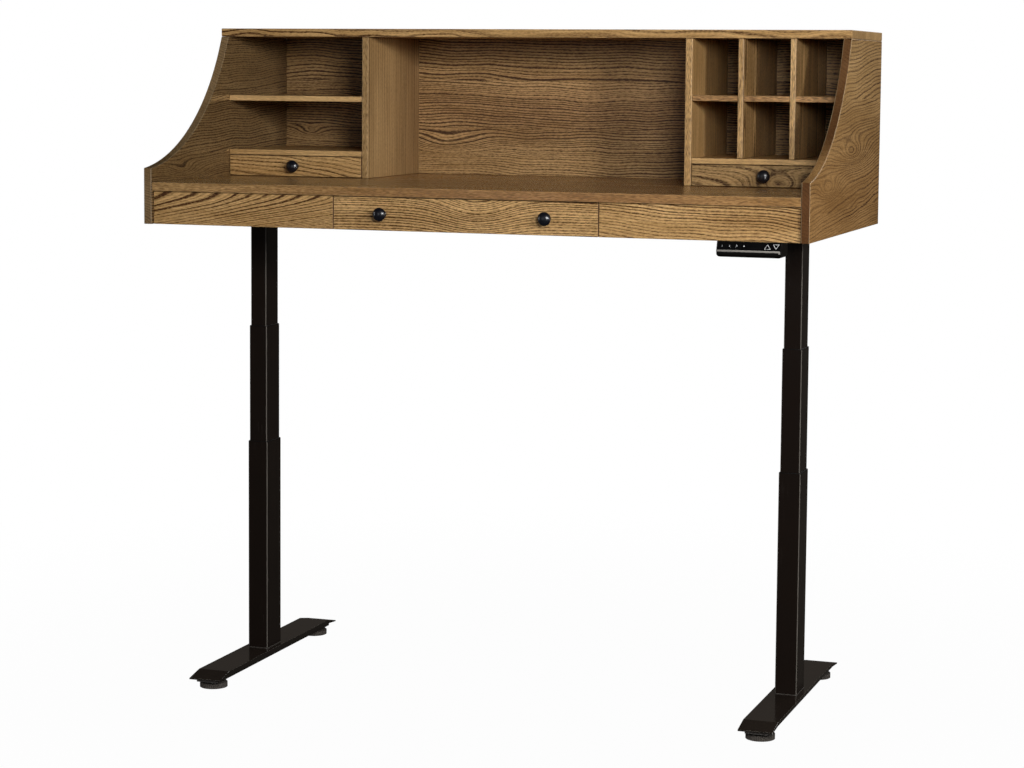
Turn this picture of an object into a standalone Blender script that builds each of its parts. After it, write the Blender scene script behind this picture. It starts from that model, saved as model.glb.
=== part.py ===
"""Height-adjustable desk: an oak cabinet with drawers and a hutch on two lifting columns.

Metres, +Z up. The front of the desk faces -Y, and its left is -X. The origin is on the floor,
under the middle of the desk's outer box.
"""
import math

import bmesh
import bpy
from mathutils import Matrix

# Clearances
GAP = 0.0003
DRAWER_GAP = 0.0015
RUNNER_GAP = 0.0008

# Cabinet
DESK_WIDTH = 1.524
DESK_DEPTH = 0.762
SURFACE_HEIGHT = 1.1735
PANEL_THICKNESS = 0.019
SLAB_THICKNESS = 0.020
SLAB_SETBACK = 0.0015
APRON_HEIGHT = 0.0743
APRON_SETBACK = 0.0105
PANEL_FRONT_HEIGHT = 0.1258
SWOOP_RADIUS = 0.51
SWOOP_STEPS = 24
EDGE_ROUND = 0.0015

# Hutch
HUTCH_HEIGHT = 0.351
HUTCH_DEPTH = 0.3556
HUTCH_SETBACK = 0.002
DIVIDER_THICKNESS = 0.0159
SIDE_BAY_WIDTH = 0.343
SHELF_THICKNESS = 0.0127
DRAWER_BAY_HEIGHT = 0.051
LEFT_SHELF_CLEAR = 0.116
CUBBY_COLUMNS = 3

# Drawers
FRONT_THICKNESS = 0.019
WIDE_FRONT_WIDTH = 0.6076
WIDE_BOX_INSET = 0.018
WIDE_BOX_LIFT = 0.006
WIDE_BOX_HEIGHT = 0.055
WIDE_BOX_BACK_CLEAR = 0.012
BOX_WALL = 0.012
BOX_BOTTOM = 0.005
HUTCH_BOX_HEADROOM = 0.008
HUTCH_BOX_BACK_CLEAR = 0.008
RUNNER_THICKNESS = 0.012
RUNNER_FOOT = 0.012
GROOVE_HEIGHT = 0.010
GROOVE_DEPTH = 0.005
TONGUE_REACH = 0.0045

# Knobs
KNOB_SPREAD = 0.378
KNOB_DIAMETER = 0.030
KNOB_PROJECTION = 0.026
KNOB_NECK_DIAMETER = 0.014
KNOB_BASE_DIAMETER = 0.020
KNOB_BASE_HEIGHT = 0.003
STUD_DIAMETER = 0.004
STUD_LENGTH = 0.010

# Lifting columns
COLUMN_INSET = 0.113
COLUMN_SETBACK = 0.4045
TUBE_X = 0.050
TUBE_Y = 0.080
TUBE_WALL = 0.0018
TUBE_PLAY = 0.0007
TUBE_ROUND = 0.003
LOWER_TUBE_TOP = 0.5392
BASE_PLATE = 0.006
LIFT_DOWN = 0.53
STOP_GAP = 0.008

# Spindles
SPINDLE_DIAMETER = 0.012
SPINDLE_PLAY = 0.0006
SLEEVE_WALL = 0.0034
NUT_TUBE_WALL = 0.0034
COLLAR_DIAMETER = 0.022
COLLAR_HEIGHT = 0.010
SLEEVE_DROP = 0.010
NUT_TUBE_DROP = 0.030

# Top frame
BRACKET_THICKNESS = 0.003
BRACKET_WIDTH = 0.084
BRACKET_END_CLEAR = 0.060
BRACKET_FLANGE = 0.025
GEARBOX_X = 0.056
GEARBOX_Y = 0.080
GEARBOX_HEIGHT = 0.055
MOTOR_DIAMETER = 0.052
MOTOR_LENGTH = 0.105
RAIL_Y = 0.020
RAIL_Z = 0.030
RAIL_WALL = 0.0016
CONTROL_BOX_SIZE = (0.260, 0.110, 0.040)
CONTROL_BOX_X = 0.230
CONTROL_BOX_CLEAR = 0.030
INLET_SIZE = (0.028, 0.014, 0.021)
INLET_WALL = 0.002
INLET_DEPTH = 0.010

# Feet
FOOT_LENGTH = 0.686
FOOT_WIDTH = 0.077
FOOT_SETBACK = 0.008
FOOT_TOP = 0.0374
FOOT_SLOPE_LENGTH = 0.052
FOOT_SLOPE_DROP = 0.0105
FOOT_SIDE = 0.009
FOOT_EDGE = 0.003
CHANNEL_INSET = 0.012
CHANNEL_END_INSET = 0.016
CHANNEL_WALL = 0.003
CHANNEL_BITE = 0.0006
FOOT_PLATE = 0.004
PAD_DIAMETER = 0.064
PAD_THICKNESS = 0.0115
PAD_CLEAR = 0.0045
PAD_INSET = 0.050
PAD_RIBS = 40
PAD_RIB_DEPTH = 0.0012
PAD_STUD_DIAMETER = 0.010
PAD_STUD_LENGTH = 0.016
PAD_STUD_PLAY = 0.0005

# Handset
HANDSET_INSET = 0.1285
HANDSET_SETBACK = 0.001
HANDSET_WIDTH = 0.138
HANDSET_DEPTH = 0.062
HANDSET_HEIGHT = 0.0325
HANDSET_ROUND = 0.0015
HANDSET_CORNER = 0.007
FACE_SLOPE = 0.006
FACE_HEIGHT = 0.0175
NOSE_RADIUS = 0.009
REAR_RADIUS = 0.006
FACE_PLATE = 0.0015
FACE_MARGIN = 0.0014
KEY_WELL_MARGIN = 0.001
KEY_DEPTH = 0.0035
KEY_TRAVEL = 0.0008
LIFT_KEY_SIZE = (0.0135, 0.0110)
LIFT_KEY_PITCH = 0.0180
LIFT_KEY_EDGE = 0.0085
MEMORY_KEY_SIZE = (0.0090, 0.0090)
MEMORY_KEY_PITCH = 0.0155
MEMORY_KEY_EDGE = 0.0090
MEMORY_KEYS = 4

# Smoothness of round pieces
CIRCLE_STEPS = 24
CORNER_STEPS = 4
CUT_MARGIN = 0.010

# Heights that follow from the sizes above
SLAB_BOTTOM = SURFACE_HEIGHT - SLAB_THICKNESS
APRON_TOP = SLAB_BOTTOM - GAP
APRON_BOTTOM = APRON_TOP - APRON_HEIGHT
HUTCH_TOP = SURFACE_HEIGHT + HUTCH_HEIGHT
HUTCH_CEILING = HUTCH_TOP - PANEL_THICKNESS
DECK_BOTTOM = SURFACE_HEIGHT + DRAWER_BAY_HEIGHT
DECK_TOP = DECK_BOTTOM + SHELF_THICKNESS
BRACKET_TOP = SLAB_BOTTOM - GAP
BRACKET_BOTTOM = BRACKET_TOP - BRACKET_THICKNESS
GEARBOX_TOP = BRACKET_BOTTOM - GAP
GEARBOX_BOTTOM = GEARBOX_TOP - GEARBOX_HEIGHT
UPPER_TUBE_TOP = GEARBOX_BOTTOM - GAP
MIDDLE_TUBE_TOP = (LOWER_TUBE_TOP + UPPER_TUBE_TOP) / 2
COLUMN_BOTTOM = FOOT_TOP + GAP
COLUMN_FLOOR = COLUMN_BOTTOM + BASE_PLATE
MIDDLE_TUBE_BOTTOM = COLUMN_FLOOR + LIFT_DOWN / 2 + STOP_GAP
UPPER_TUBE_BOTTOM = COLUMN_FLOOR + LIFT_DOWN + STOP_GAP
HANDSET_TOP = APRON_BOTTOM - GAP

# Depths, from the front edges of the side panels
KNOB_REACH = max(KNOB_PROJECTION + GAP - APRON_SETBACK, 0)
FRONT = (KNOB_REACH - DESK_DEPTH) / 2
BACK = FRONT + DESK_DEPTH
BACK_PANEL_FRONT = BACK - PANEL_THICKNESS
APRON_FRONT = FRONT + APRON_SETBACK
HUTCH_FRONT = BACK - HUTCH_DEPTH
BAY_FRONT = HUTCH_FRONT + HUTCH_SETBACK
BAY_BACK = BACK_PANEL_FRONT - GAP
COLUMN_Y = FRONT + COLUMN_SETBACK
RAIL_OFFSET = GEARBOX_Y / 2 + GAP + RAIL_Y / 2
FRONT_RAIL_FACE = COLUMN_Y - RAIL_OFFSET - RAIL_Y / 2
BRACKET_FRONT = APRON_FRONT + PANEL_THICKNESS + BRACKET_END_CLEAR
BRACKET_BACK = BACK_PANEL_FRONT - BRACKET_END_CLEAR

# Places across the width
INNER_X = DESK_WIDTH / 2 - PANEL_THICKNESS
BOARD_X = INNER_X - GAP
BAY_X = INNER_X - SIDE_BAY_WIDTH
DIVIDER_X = BAY_X - DIVIDER_THICKNESS / 2
COLUMN_X = DESK_WIDTH / 2 - COLUMN_INSET
HANDSET_X = DESK_WIDTH / 2 - HANDSET_INSET
STAGE_STEP = TUBE_WALL + TUBE_PLAY

# Turns an outline drawn in XY so that it lies in YZ, or in XZ
INTO_YZ = (math.pi / 2, 0, math.pi / 2)
INTO_XZ = (math.pi / 2, 0, 0)
SIDES = (("left", -1), ("right", 1))


def clear_scene():
    for thing in list(bpy.data.objects):
        bpy.data.objects.remove(thing, do_unlink=True)


def new_collection(name):
    collection = bpy.data.collections.new(name)
    bpy.context.scene.collection.children.link(collection)
    return collection


clear_scene()
PARTS = new_collection("height_adjustable_desk")
CUTTERS = new_collection("cutters")


def new_material(name, colour, roughness, metallic=0.0):
    material = bpy.data.materials.new(name)
    material.use_nodes = True
    shader = material.node_tree.nodes["Principled BSDF"]
    shader.inputs["Base Color"].default_value = (*colour, 1.0)
    shader.inputs["Roughness"].default_value = roughness
    shader.inputs["Metallic"].default_value = metallic
    return material


OAK = new_material("stained_oak", (0.36, 0.22, 0.10), 0.45)
DRAWER_WOOD = new_material("drawer_wood", (0.50, 0.36, 0.20), 0.60)
BRONZE = new_material("dark_bronze", (0.02, 0.016, 0.014), 0.35, 0.6)
BLACK_STEEL = new_material("black_steel", (0.010, 0.008, 0.007), 0.35, 0.2)
BRIGHT_STEEL = new_material("bright_steel", (0.55, 0.55, 0.56), 0.30, 1.0)
BLACK_PLASTIC = new_material("black_plastic", (0.012, 0.012, 0.013), 0.50)
FACE_PLASTIC = new_material("face_plastic", (0.008, 0.008, 0.009), 0.25)
PAD_RUBBER = new_material("pad_rubber", (0.020, 0.018, 0.016), 0.70)


def box_mesh(name, size):
    mesh = bpy.data.meshes.new(name)
    shape = bmesh.new()
    bmesh.ops.create_cube(shape, size=1.0, matrix=Matrix.Diagonal((*size, 1.0)))
    shape.to_mesh(mesh)
    shape.free()
    return mesh


def cylinder_mesh(name, radius, length):
    mesh = bpy.data.meshes.new(name)
    shape = bmesh.new()
    bmesh.ops.create_cone(
        shape, cap_ends=True, segments=CIRCLE_STEPS, radius1=radius, radius2=radius, depth=length)
    shape.to_mesh(mesh)
    shape.free()
    return mesh


def outline_mesh(name, outlines, thickness):
    """A flat shape drawn in XY, as thick as given about Z = 0. Later outlines are its holes."""
    curve = bpy.data.curves.new(name, "CURVE")
    curve.dimensions = "2D"
    curve.fill_mode = "BOTH"
    curve.extrude = thickness / 2
    for points in outlines:
        spline = curve.splines.new("POLY")
        spline.points.add(len(points) - 1)
        for point, (x, y) in zip(spline.points, points):
            point.co = (x, y, 0, 1)
        spline.use_cyclic_u = True
    drawn = bpy.data.objects.new(name, curve)
    bpy.context.scene.collection.objects.link(drawn)
    evaluated = drawn.evaluated_get(bpy.context.evaluated_depsgraph_get())
    mesh = bpy.data.meshes.new_from_object(evaluated)
    bpy.data.objects.remove(drawn)
    bpy.data.curves.remove(curve)
    shape = bmesh.new()
    shape.from_mesh(mesh)
    bmesh.ops.remove_doubles(shape, verts=shape.verts, dist=GAP / 10)
    shape.to_mesh(mesh)
    shape.free()
    return mesh


def profile_mesh(name, points):
    """An open profile in XZ, from the top of the axis down its outer side to the bottom."""
    mesh = bpy.data.meshes.new(name)
    edges = [(index, index + 1) for index in range(len(points) - 1)]
    mesh.from_pydata([(radius, 0, height) for radius, height in points], edges, [])
    return mesh


def circle(radius):
    angles = [math.tau * step / CIRCLE_STEPS for step in range(CIRCLE_STEPS)]
    return [(radius * math.cos(angle), radius * math.sin(angle)) for angle in angles]


def arc(centre, radius, start, end, steps):
    angles = [start + (end - start) * step / steps for step in range(steps + 1)]
    return [(centre[0] + radius * math.cos(angle), centre[1] + radius * math.sin(angle)) for angle in angles]


def rounded_rectangle(width, height, radius):
    points = []
    for corner, (sign_x, sign_y) in enumerate(((1, 1), (-1, 1), (-1, -1), (1, -1))):
        centre = (sign_x * (width / 2 - radius), sign_y * (height / 2 - radius))
        points += arc(centre, radius, corner * math.pi / 2, (corner + 1) * math.pi / 2, CORNER_STEPS)
    return points


def new_empty(name, location, carrier=None):
    empty = bpy.data.objects.new(name, None)
    empty.location = location
    PARTS.objects.link(empty)
    if carrier:
        attach(empty, carrier)
    bpy.context.view_layer.update()
    return empty


def attach(thing, carrier):
    """Hangs an object on its carrier and leaves it where it stands."""
    thing.parent = carrier
    thing.matrix_parent_inverse = carrier.matrix_world.inverted()


def add_part(name, mesh, material, at, carrier, rotation=(0, 0, 0)):
    part = bpy.data.objects.new(name, mesh)
    part.location = at
    part.rotation_euler = rotation
    mesh.materials.append(material)
    PARTS.objects.link(part)
    attach(part, carrier)
    return part


def middle(low, high):
    return tuple((start + end) / 2 for start, end in zip(low, high))


def extent(low, high):
    return tuple(end - start for start, end in zip(low, high))


def add_box(name, low, high, material, carrier, rounding=0.0):
    part = add_part(name, box_mesh(name, extent(low, high)), material, middle(low, high), carrier)
    if rounding:
        round_edges(part, rounding)
    return part


def add_turned(name, points, material, at, carrier, rotation=(0, 0, 0)):
    mesh = profile_mesh(name, points)
    part = add_part(name, mesh, material, at, carrier, rotation)
    turning = part.modifiers.new("turning", "SCREW")
    turning.steps = CIRCLE_STEPS
    turning.render_steps = CIRCLE_STEPS
    turning.use_merge_vertices = True
    turning.merge_threshold = GAP / 10
    return part


def round_edges(part, width):
    rounding = part.modifiers.new("rounding", "BEVEL")
    rounding.width = width
    rounding.segments = 2
    rounding.limit_method = "ANGLE"
    return rounding


def combine(part, operation, mesh, at, rotation=(0, 0, 0), carrier=None):
    tool = bpy.data.objects.new(f"{part.name}_{mesh.name}", mesh)
    tool.location = at
    tool.rotation_euler = rotation
    tool.hide_render = True
    tool.display_type = "WIRE"
    CUTTERS.objects.link(tool)
    if carrier:
        tool.parent = carrier
    step = part.modifiers.new(mesh.name, "BOOLEAN")
    step.operation = operation
    step.object = tool


def cut_box(part, low, high):
    combine(part, "DIFFERENCE", box_mesh("cut", extent(low, high)), middle(low, high))


def fuse_box(part, low, high):
    combine(part, "UNION", box_mesh("joined", extent(low, high)), middle(low, high))


def make_side_panels(desk):
    front_top = (FRONT, APRON_BOTTOM + PANEL_FRONT_HEIGHT)
    hutch_end = (HUTCH_FRONT, HUTCH_CEILING - GAP)
    run = hutch_end[0] - front_top[0]
    rise = hutch_end[1] - front_top[1]
    chord = math.hypot(run, rise)
    offset = math.sqrt(SWOOP_RADIUS ** 2 - (chord / 2) ** 2)
    centre = (
        (front_top[0] + hutch_end[0]) / 2 - offset * rise / chord,
        (front_top[1] + hutch_end[1]) / 2 + offset * run / chord)
    start = math.atan2(front_top[1] - centre[1], front_top[0] - centre[0])
    end = math.atan2(hutch_end[1] - centre[1], hutch_end[0] - centre[0])
    outline = [(FRONT, APRON_BOTTOM)]
    outline += arc(centre, SWOOP_RADIUS, start, end, SWOOP_STEPS)
    outline += [(BACK, hutch_end[1]), (BACK, APRON_BOTTOM)]
    for side, sign in SIDES:
        name = f"{side}_side_panel"
        mesh = outline_mesh(name, [outline], PANEL_THICKNESS)
        at = (sign * (DESK_WIDTH - PANEL_THICKNESS) / 2, 0, 0)
        round_edges(add_part(name, mesh, OAK, at, desk, INTO_YZ), EDGE_ROUND)


def make_desktop_and_aprons(desk):
    add_box(
        "desktop", (-BOARD_X, FRONT + SLAB_SETBACK, SLAB_BOTTOM), (BOARD_X, BACK, SURFACE_HEIGHT),
        OAK, desk, EDGE_ROUND)
    opening = WIDE_FRONT_WIDTH / 2 + DRAWER_GAP
    for side, sign in SIDES:
        ends = sorted((sign * opening, sign * BOARD_X))
        add_box(
            f"{side}_apron", (ends[0], APRON_FRONT, APRON_BOTTOM),
            (ends[1], APRON_FRONT + PANEL_THICKNESS, APRON_TOP), OAK, desk, EDGE_ROUND)
    add_box(
        "rear_apron", (-BOARD_X, BACK_PANEL_FRONT, APRON_BOTTOM), (BOARD_X, BACK, APRON_TOP),
        OAK, desk, EDGE_ROUND)


def make_hutch(desk):
    floor = SURFACE_HEIGHT + GAP
    ceiling = HUTCH_CEILING - GAP
    half_width = DESK_WIDTH / 2
    add_box(
        "hutch_top", (-half_width, HUTCH_FRONT, HUTCH_CEILING), (half_width, BACK, HUTCH_TOP),
        OAK, desk, EDGE_ROUND)
    add_box(
        "back_panel", (-BOARD_X, BACK_PANEL_FRONT, floor), (BOARD_X, BACK, ceiling),
        OAK, desk, EDGE_ROUND)
    for side, sign in SIDES:
        add_box(
            f"{side}_divider",
            (sign * DIVIDER_X - DIVIDER_THICKNESS / 2, BAY_FRONT, floor),
            (sign * DIVIDER_X + DIVIDER_THICKNESS / 2, BAY_BACK, ceiling), OAK, desk, EDGE_ROUND)
        add_shelf(f"{side}_drawer_deck", sign, DECK_BOTTOM, desk)
    add_shelf("left_shelf", -1, DECK_TOP + LEFT_SHELF_CLEAR, desk)
    make_cubbies(desk)


def add_shelf(name, sign, bottom, desk):
    """A board across the left or the right bay of the hutch."""
    ends = sorted((sign * (BAY_X + GAP), sign * BOARD_X))
    low = (ends[0], BAY_FRONT, bottom)
    high = (ends[1], BAY_BACK, bottom + SHELF_THICKNESS)
    return add_box(name, low, high, OAK, desk, EDGE_ROUND)


def make_cubbies(desk):
    """A shelf and upright dividers in the right bay, slotted halfway into each other."""
    floor = DECK_TOP + GAP
    ceiling = HUTCH_CEILING - GAP
    shelf_bottom = (floor + ceiling - SHELF_THICKNESS) / 2
    slot_end = (BAY_FRONT + BAY_BACK) / 2
    shelf = add_shelf("cubby_shelf", 1, shelf_bottom, desk)
    pitch = (SIDE_BAY_WIDTH + SHELF_THICKNESS) / CUBBY_COLUMNS
    for number in range(1, CUBBY_COLUMNS):
        left = BAY_X + number * pitch - SHELF_THICKNESS
        right = left + SHELF_THICKNESS
        divider = add_box(
            f"cubby_divider_{number}", (left, BAY_FRONT, floor), (right, BAY_BACK, ceiling),
            OAK, desk, EDGE_ROUND)
        cut_box(
            shelf, (left - GAP, BAY_FRONT - CUT_MARGIN, shelf_bottom - CUT_MARGIN),
            (right + GAP, slot_end + GAP, shelf_bottom + SHELF_THICKNESS + CUT_MARGIN))
        cut_box(
            divider, (left - CUT_MARGIN, slot_end - GAP, shelf_bottom - GAP),
            (right + CUT_MARGIN, BAY_BACK + CUT_MARGIN, shelf_bottom + SHELF_THICKNESS + GAP))


def add_drawer_front(name, low, high, knobs, carrier):
    """A drawer front with a blind hole for the stud of each knob, and the knobs themselves."""
    front = add_box(f"{name}_front", low, high, OAK, carrier, EDGE_ROUND)
    height = (low[2] + high[2]) / 2
    depth = STUD_LENGTH + GAP
    for knob_name, x in knobs:
        hole = cylinder_mesh("stud_hole", STUD_DIAMETER / 2 + GAP, depth + CUT_MARGIN)
        at = (x, low[1] + (depth - CUT_MARGIN) / 2, height)
        combine(front, "DIFFERENCE", hole, at, INTO_XZ)
        add_knob(knob_name, (x, low[1] - GAP, height), carrier)


def add_knob(name, at, carrier):
    crown = KNOB_DIAMETER / 2
    neck = KNOB_NECK_DIAMETER / 2
    base = KNOB_BASE_DIAMETER / 2
    stud = STUD_DIAMETER / 2
    rise = KNOB_PROJECTION - KNOB_BASE_HEIGHT
    points = [(0, KNOB_PROJECTION)]
    points += [
        (crown * across, KNOB_BASE_HEIGHT + rise * up)
        for across, up in ((0.40, 0.985), (0.72, 0.93), (0.93, 0.82), (1.0, 0.68), (0.94, 0.56))]
    points += [(neck, KNOB_BASE_HEIGHT + rise * 0.36), (neck, KNOB_BASE_HEIGHT + rise * 0.10)]
    points += [(base, KNOB_BASE_HEIGHT), (base, 0), (stud, 0), (stud, -STUD_LENGTH), (0, -STUD_LENGTH)]
    add_turned(name, points, BRONZE, at, carrier, INTO_XZ)


def make_wide_drawer(desk):
    half_front = WIDE_FRONT_WIDTH / 2
    back_of_front = APRON_FRONT + FRONT_THICKNESS
    drawer = new_empty("wide_drawer", (0, APRON_FRONT, APRON_BOTTOM), desk)
    add_drawer_front(
        "wide_drawer", (-half_front, APRON_FRONT, APRON_BOTTOM),
        (half_front, back_of_front, APRON_TOP - DRAWER_GAP),
        (("wide_drawer_left_knob", -KNOB_SPREAD / 2), ("wide_drawer_right_knob", KNOB_SPREAD / 2)), drawer)
    half_box = half_front - WIDE_BOX_INSET
    bottom = APRON_BOTTOM + WIDE_BOX_LIFT
    low = (-half_box, back_of_front + GAP, bottom)
    high = (half_box, FRONT_RAIL_FACE - WIDE_BOX_BACK_CLEAR, bottom + WIDE_BOX_HEIGHT)
    tray = add_tray("wide_drawer_box", low, high, drawer)
    groove_middle = bottom + WIDE_BOX_HEIGHT / 2
    for side, sign in SIDES:
        ends = sorted((sign * (half_box - GROOVE_DEPTH), sign * (half_box + CUT_MARGIN)))
        cut_box(
            tray, (ends[0], low[1] - CUT_MARGIN, groove_middle - GROOVE_HEIGHT / 2),
            (ends[1], high[1] + CUT_MARGIN, groove_middle + GROOVE_HEIGHT / 2))
        make_runner(f"{side}_drawer_runner", sign, half_box + RUNNER_GAP, groove_middle, low[1], desk)


def make_runner(name, sign, inner, tongue_middle, start, desk):
    """A hanging board under the desktop with a tongue that carries the wide drawer by its groove."""
    tongue_half = GROOVE_HEIGHT / 2 - GAP
    end = FRONT_RAIL_FACE - GAP
    ends = sorted((sign * inner, sign * (inner + RUNNER_THICKNESS)))
    runner = add_box(
        name, (ends[0], start, tongue_middle - tongue_half - RUNNER_FOOT), (ends[1], end, SLAB_BOTTOM - GAP),
        DRAWER_WOOD, desk)
    ends = sorted((sign * (inner - TONGUE_REACH), sign * (inner + RUNNER_THICKNESS / 2)))
    fuse_box(runner, (ends[0], start, tongue_middle - tongue_half), (ends[1], end, tongue_middle + tongue_half))


def add_tray(name, low, high, carrier):
    tray = add_box(name, low, high, DRAWER_WOOD, carrier)
    cut_box(
        tray, (low[0] + BOX_WALL, low[1] + BOX_WALL, low[2] + BOX_BOTTOM),
        (high[0] - BOX_WALL, high[1] - BOX_WALL, high[2] + CUT_MARGIN))
    return tray


def make_hutch_drawers(desk):
    floor = SURFACE_HEIGHT + GAP
    for side, sign in SIDES:
        ends = sorted((sign * (BAY_X + DRAWER_GAP), sign * (INNER_X - DRAWER_GAP)))
        drawer = new_empty(f"{side}_drawer", (sum(ends) / 2, BAY_FRONT, floor), desk)
        back_of_front = BAY_FRONT + FRONT_THICKNESS
        add_drawer_front(
            f"{side}_drawer", (ends[0], BAY_FRONT, SURFACE_HEIGHT + DRAWER_GAP),
            (ends[1], back_of_front, DECK_BOTTOM - DRAWER_GAP),
            ((f"{side}_drawer_knob", sum(ends) / 2),), drawer)
        add_tray(
            f"{side}_drawer_box", (ends[0], back_of_front + GAP, floor),
            (ends[1], BAY_BACK - HUTCH_BOX_BACK_CLEAR, DECK_BOTTOM - HUTCH_BOX_HEADROOM), drawer)


def make_top_frame(desk):
    bracket_half = BRACKET_WIDTH / 2
    rail_top = BRACKET_BOTTOM - GAP
    rail_end = COLUMN_X + bracket_half - BRACKET_THICKNESS - GAP
    for side, sign in SIDES:
        outline = [
            (-bracket_half, BRACKET_TOP), (bracket_half, BRACKET_TOP), (bracket_half, BRACKET_TOP - BRACKET_FLANGE),
            (bracket_half - BRACKET_THICKNESS, BRACKET_TOP - BRACKET_FLANGE),
            (bracket_half - BRACKET_THICKNESS, BRACKET_BOTTOM), (-bracket_half, BRACKET_BOTTOM)]
        outline = [(sign * x, z) for x, z in outline]
        name = f"{side}_top_bracket"
        mesh = outline_mesh(name, [outline], BRACKET_BACK - BRACKET_FRONT)
        at = (sign * COLUMN_X, (BRACKET_FRONT + BRACKET_BACK) / 2, 0)
        add_part(name, mesh, BLACK_STEEL, at, desk, INTO_XZ)
        make_motor(side, sign, desk)
    bore = rounded_rectangle(RAIL_Y - 2 * RAIL_WALL, RAIL_Z - 2 * RAIL_WALL, RAIL_WALL)
    section = rounded_rectangle(RAIL_Y, RAIL_Z, 2 * RAIL_WALL)
    for name, sign in (("front_cross_rail", -1), ("rear_cross_rail", 1)):
        mesh = outline_mesh(name, [section, bore], 2 * rail_end)
        at = (0, COLUMN_Y + sign * RAIL_OFFSET, rail_top - RAIL_Z / 2)
        add_part(name, mesh, BLACK_STEEL, at, desk, INTO_YZ)
    make_control_box(desk)


def make_motor(side, sign, desk):
    """A gearbox on top of the column, with its motor lying towards the middle of the desk."""
    low = (sign * COLUMN_X - GEARBOX_X / 2, COLUMN_Y - GEARBOX_Y / 2, GEARBOX_BOTTOM)
    high = (sign * COLUMN_X + GEARBOX_X / 2, COLUMN_Y + GEARBOX_Y / 2, GEARBOX_TOP)
    gearbox = add_box(f"{side}_lift_motor", low, high, BLACK_PLASTIC, desk, EDGE_ROUND)
    buried = GEARBOX_X / 4
    motor = cylinder_mesh("motor", MOTOR_DIAMETER / 2, MOTOR_LENGTH + buried)
    motor_x = sign * (COLUMN_X - GEARBOX_X / 2 - (MOTOR_LENGTH - buried) / 2)
    at = (motor_x, COLUMN_Y, (GEARBOX_TOP + GEARBOX_BOTTOM) / 2)
    combine(gearbox, "UNION", motor, at, (0, math.pi / 2, 0))


def make_control_box(desk):
    front = COLUMN_Y + RAIL_OFFSET + RAIL_Y / 2 + CONTROL_BOX_CLEAR
    top = SLAB_BOTTOM - GAP
    low = (CONTROL_BOX_X - CONTROL_BOX_SIZE[0] / 2, front, top - CONTROL_BOX_SIZE[2])
    high = (CONTROL_BOX_X + CONTROL_BOX_SIZE[0] / 2, front + CONTROL_BOX_SIZE[1], top)
    control = add_box("control_box", low, high, BLACK_PLASTIC, desk, EDGE_ROUND)
    width, depth, height = INLET_SIZE
    inlet_low = (CONTROL_BOX_X - width / 2, high[1] - depth, (low[2] + high[2] - height) / 2)
    inlet_high = (CONTROL_BOX_X + width / 2, high[1], (low[2] + high[2] + height) / 2)
    cut_box(
        control, tuple(edge - GAP for edge in inlet_low),
        (inlet_high[0] + GAP, inlet_high[1] + CUT_MARGIN, inlet_high[2] + GAP))
    inlet = add_box("power_inlet", inlet_low, inlet_high, FACE_PLASTIC, desk)
    cut_box(
        inlet, (inlet_low[0] + INLET_WALL, inlet_high[1] - INLET_DEPTH, inlet_low[2] + INLET_WALL),
        (inlet_high[0] - INLET_WALL, inlet_high[1] + CUT_MARGIN, inlet_high[2] - INLET_WALL))


def tube_section(stage):
    """Outer and inner outline of a column tube; stage 0 is the lowest and widest."""
    width = TUBE_X - 2 * stage * STAGE_STEP
    depth = TUBE_Y - 2 * stage * STAGE_STEP
    outer = rounded_rectangle(width, depth, TUBE_ROUND)
    inner = rounded_rectangle(width - 2 * TUBE_WALL, depth - 2 * TUBE_WALL, TUBE_ROUND - TUBE_WALL)
    return outer, inner


def add_tube(name, section, x, bottom, top, carrier, material=BLACK_STEEL):
    mesh = outline_mesh(name, section, top - bottom)
    return add_part(name, mesh, material, (x, COLUMN_Y, (bottom + top) / 2), carrier)


def make_columns(base, desk):
    sleeve_bore = SPINDLE_DIAMETER / 2 + SPINDLE_PLAY
    sleeve_radius = sleeve_bore + SLEEVE_WALL
    nut_bore = sleeve_radius + SPINDLE_PLAY
    for side, sign in SIDES:
        x = sign * COLUMN_X
        lower = add_tube(f"{side}_lower_tube", tube_section(0)[:1], x, COLUMN_BOTTOM, LOWER_TUBE_TOP, base)
        add_column_inside(lower, x, tube_section(0)[1], nut_bore)
        stage = new_empty(f"{side}_stage", (x, COLUMN_Y, MIDDLE_TUBE_BOTTOM), base)
        add_tube(f"{side}_middle_tube", tube_section(1), x, MIDDLE_TUBE_BOTTOM, MIDDLE_TUBE_TOP, stage)
        add_tube(
            f"{side}_spindle_sleeve", [circle(sleeve_radius), circle(sleeve_bore)], x,
            MIDDLE_TUBE_BOTTOM, MIDDLE_TUBE_TOP - SLEEVE_DROP, stage, BRIGHT_STEEL)
        add_tube(f"{side}_upper_tube", tube_section(2), x, UPPER_TUBE_BOTTOM, UPPER_TUBE_TOP, desk)
        length = GEARBOX_BOTTOM - GAP - UPPER_TUBE_BOTTOM
        points = [
            (0, 0), (COLLAR_DIAMETER / 2, 0), (COLLAR_DIAMETER / 2, -COLLAR_HEIGHT),
            (SPINDLE_DIAMETER / 2, -COLLAR_HEIGHT), (SPINDLE_DIAMETER / 2, -length), (0, -length)]
        add_turned(
            f"{side}_drive_spindle", points, BRIGHT_STEEL, (x, COLUMN_Y, GEARBOX_BOTTOM - GAP), desk)


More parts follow.
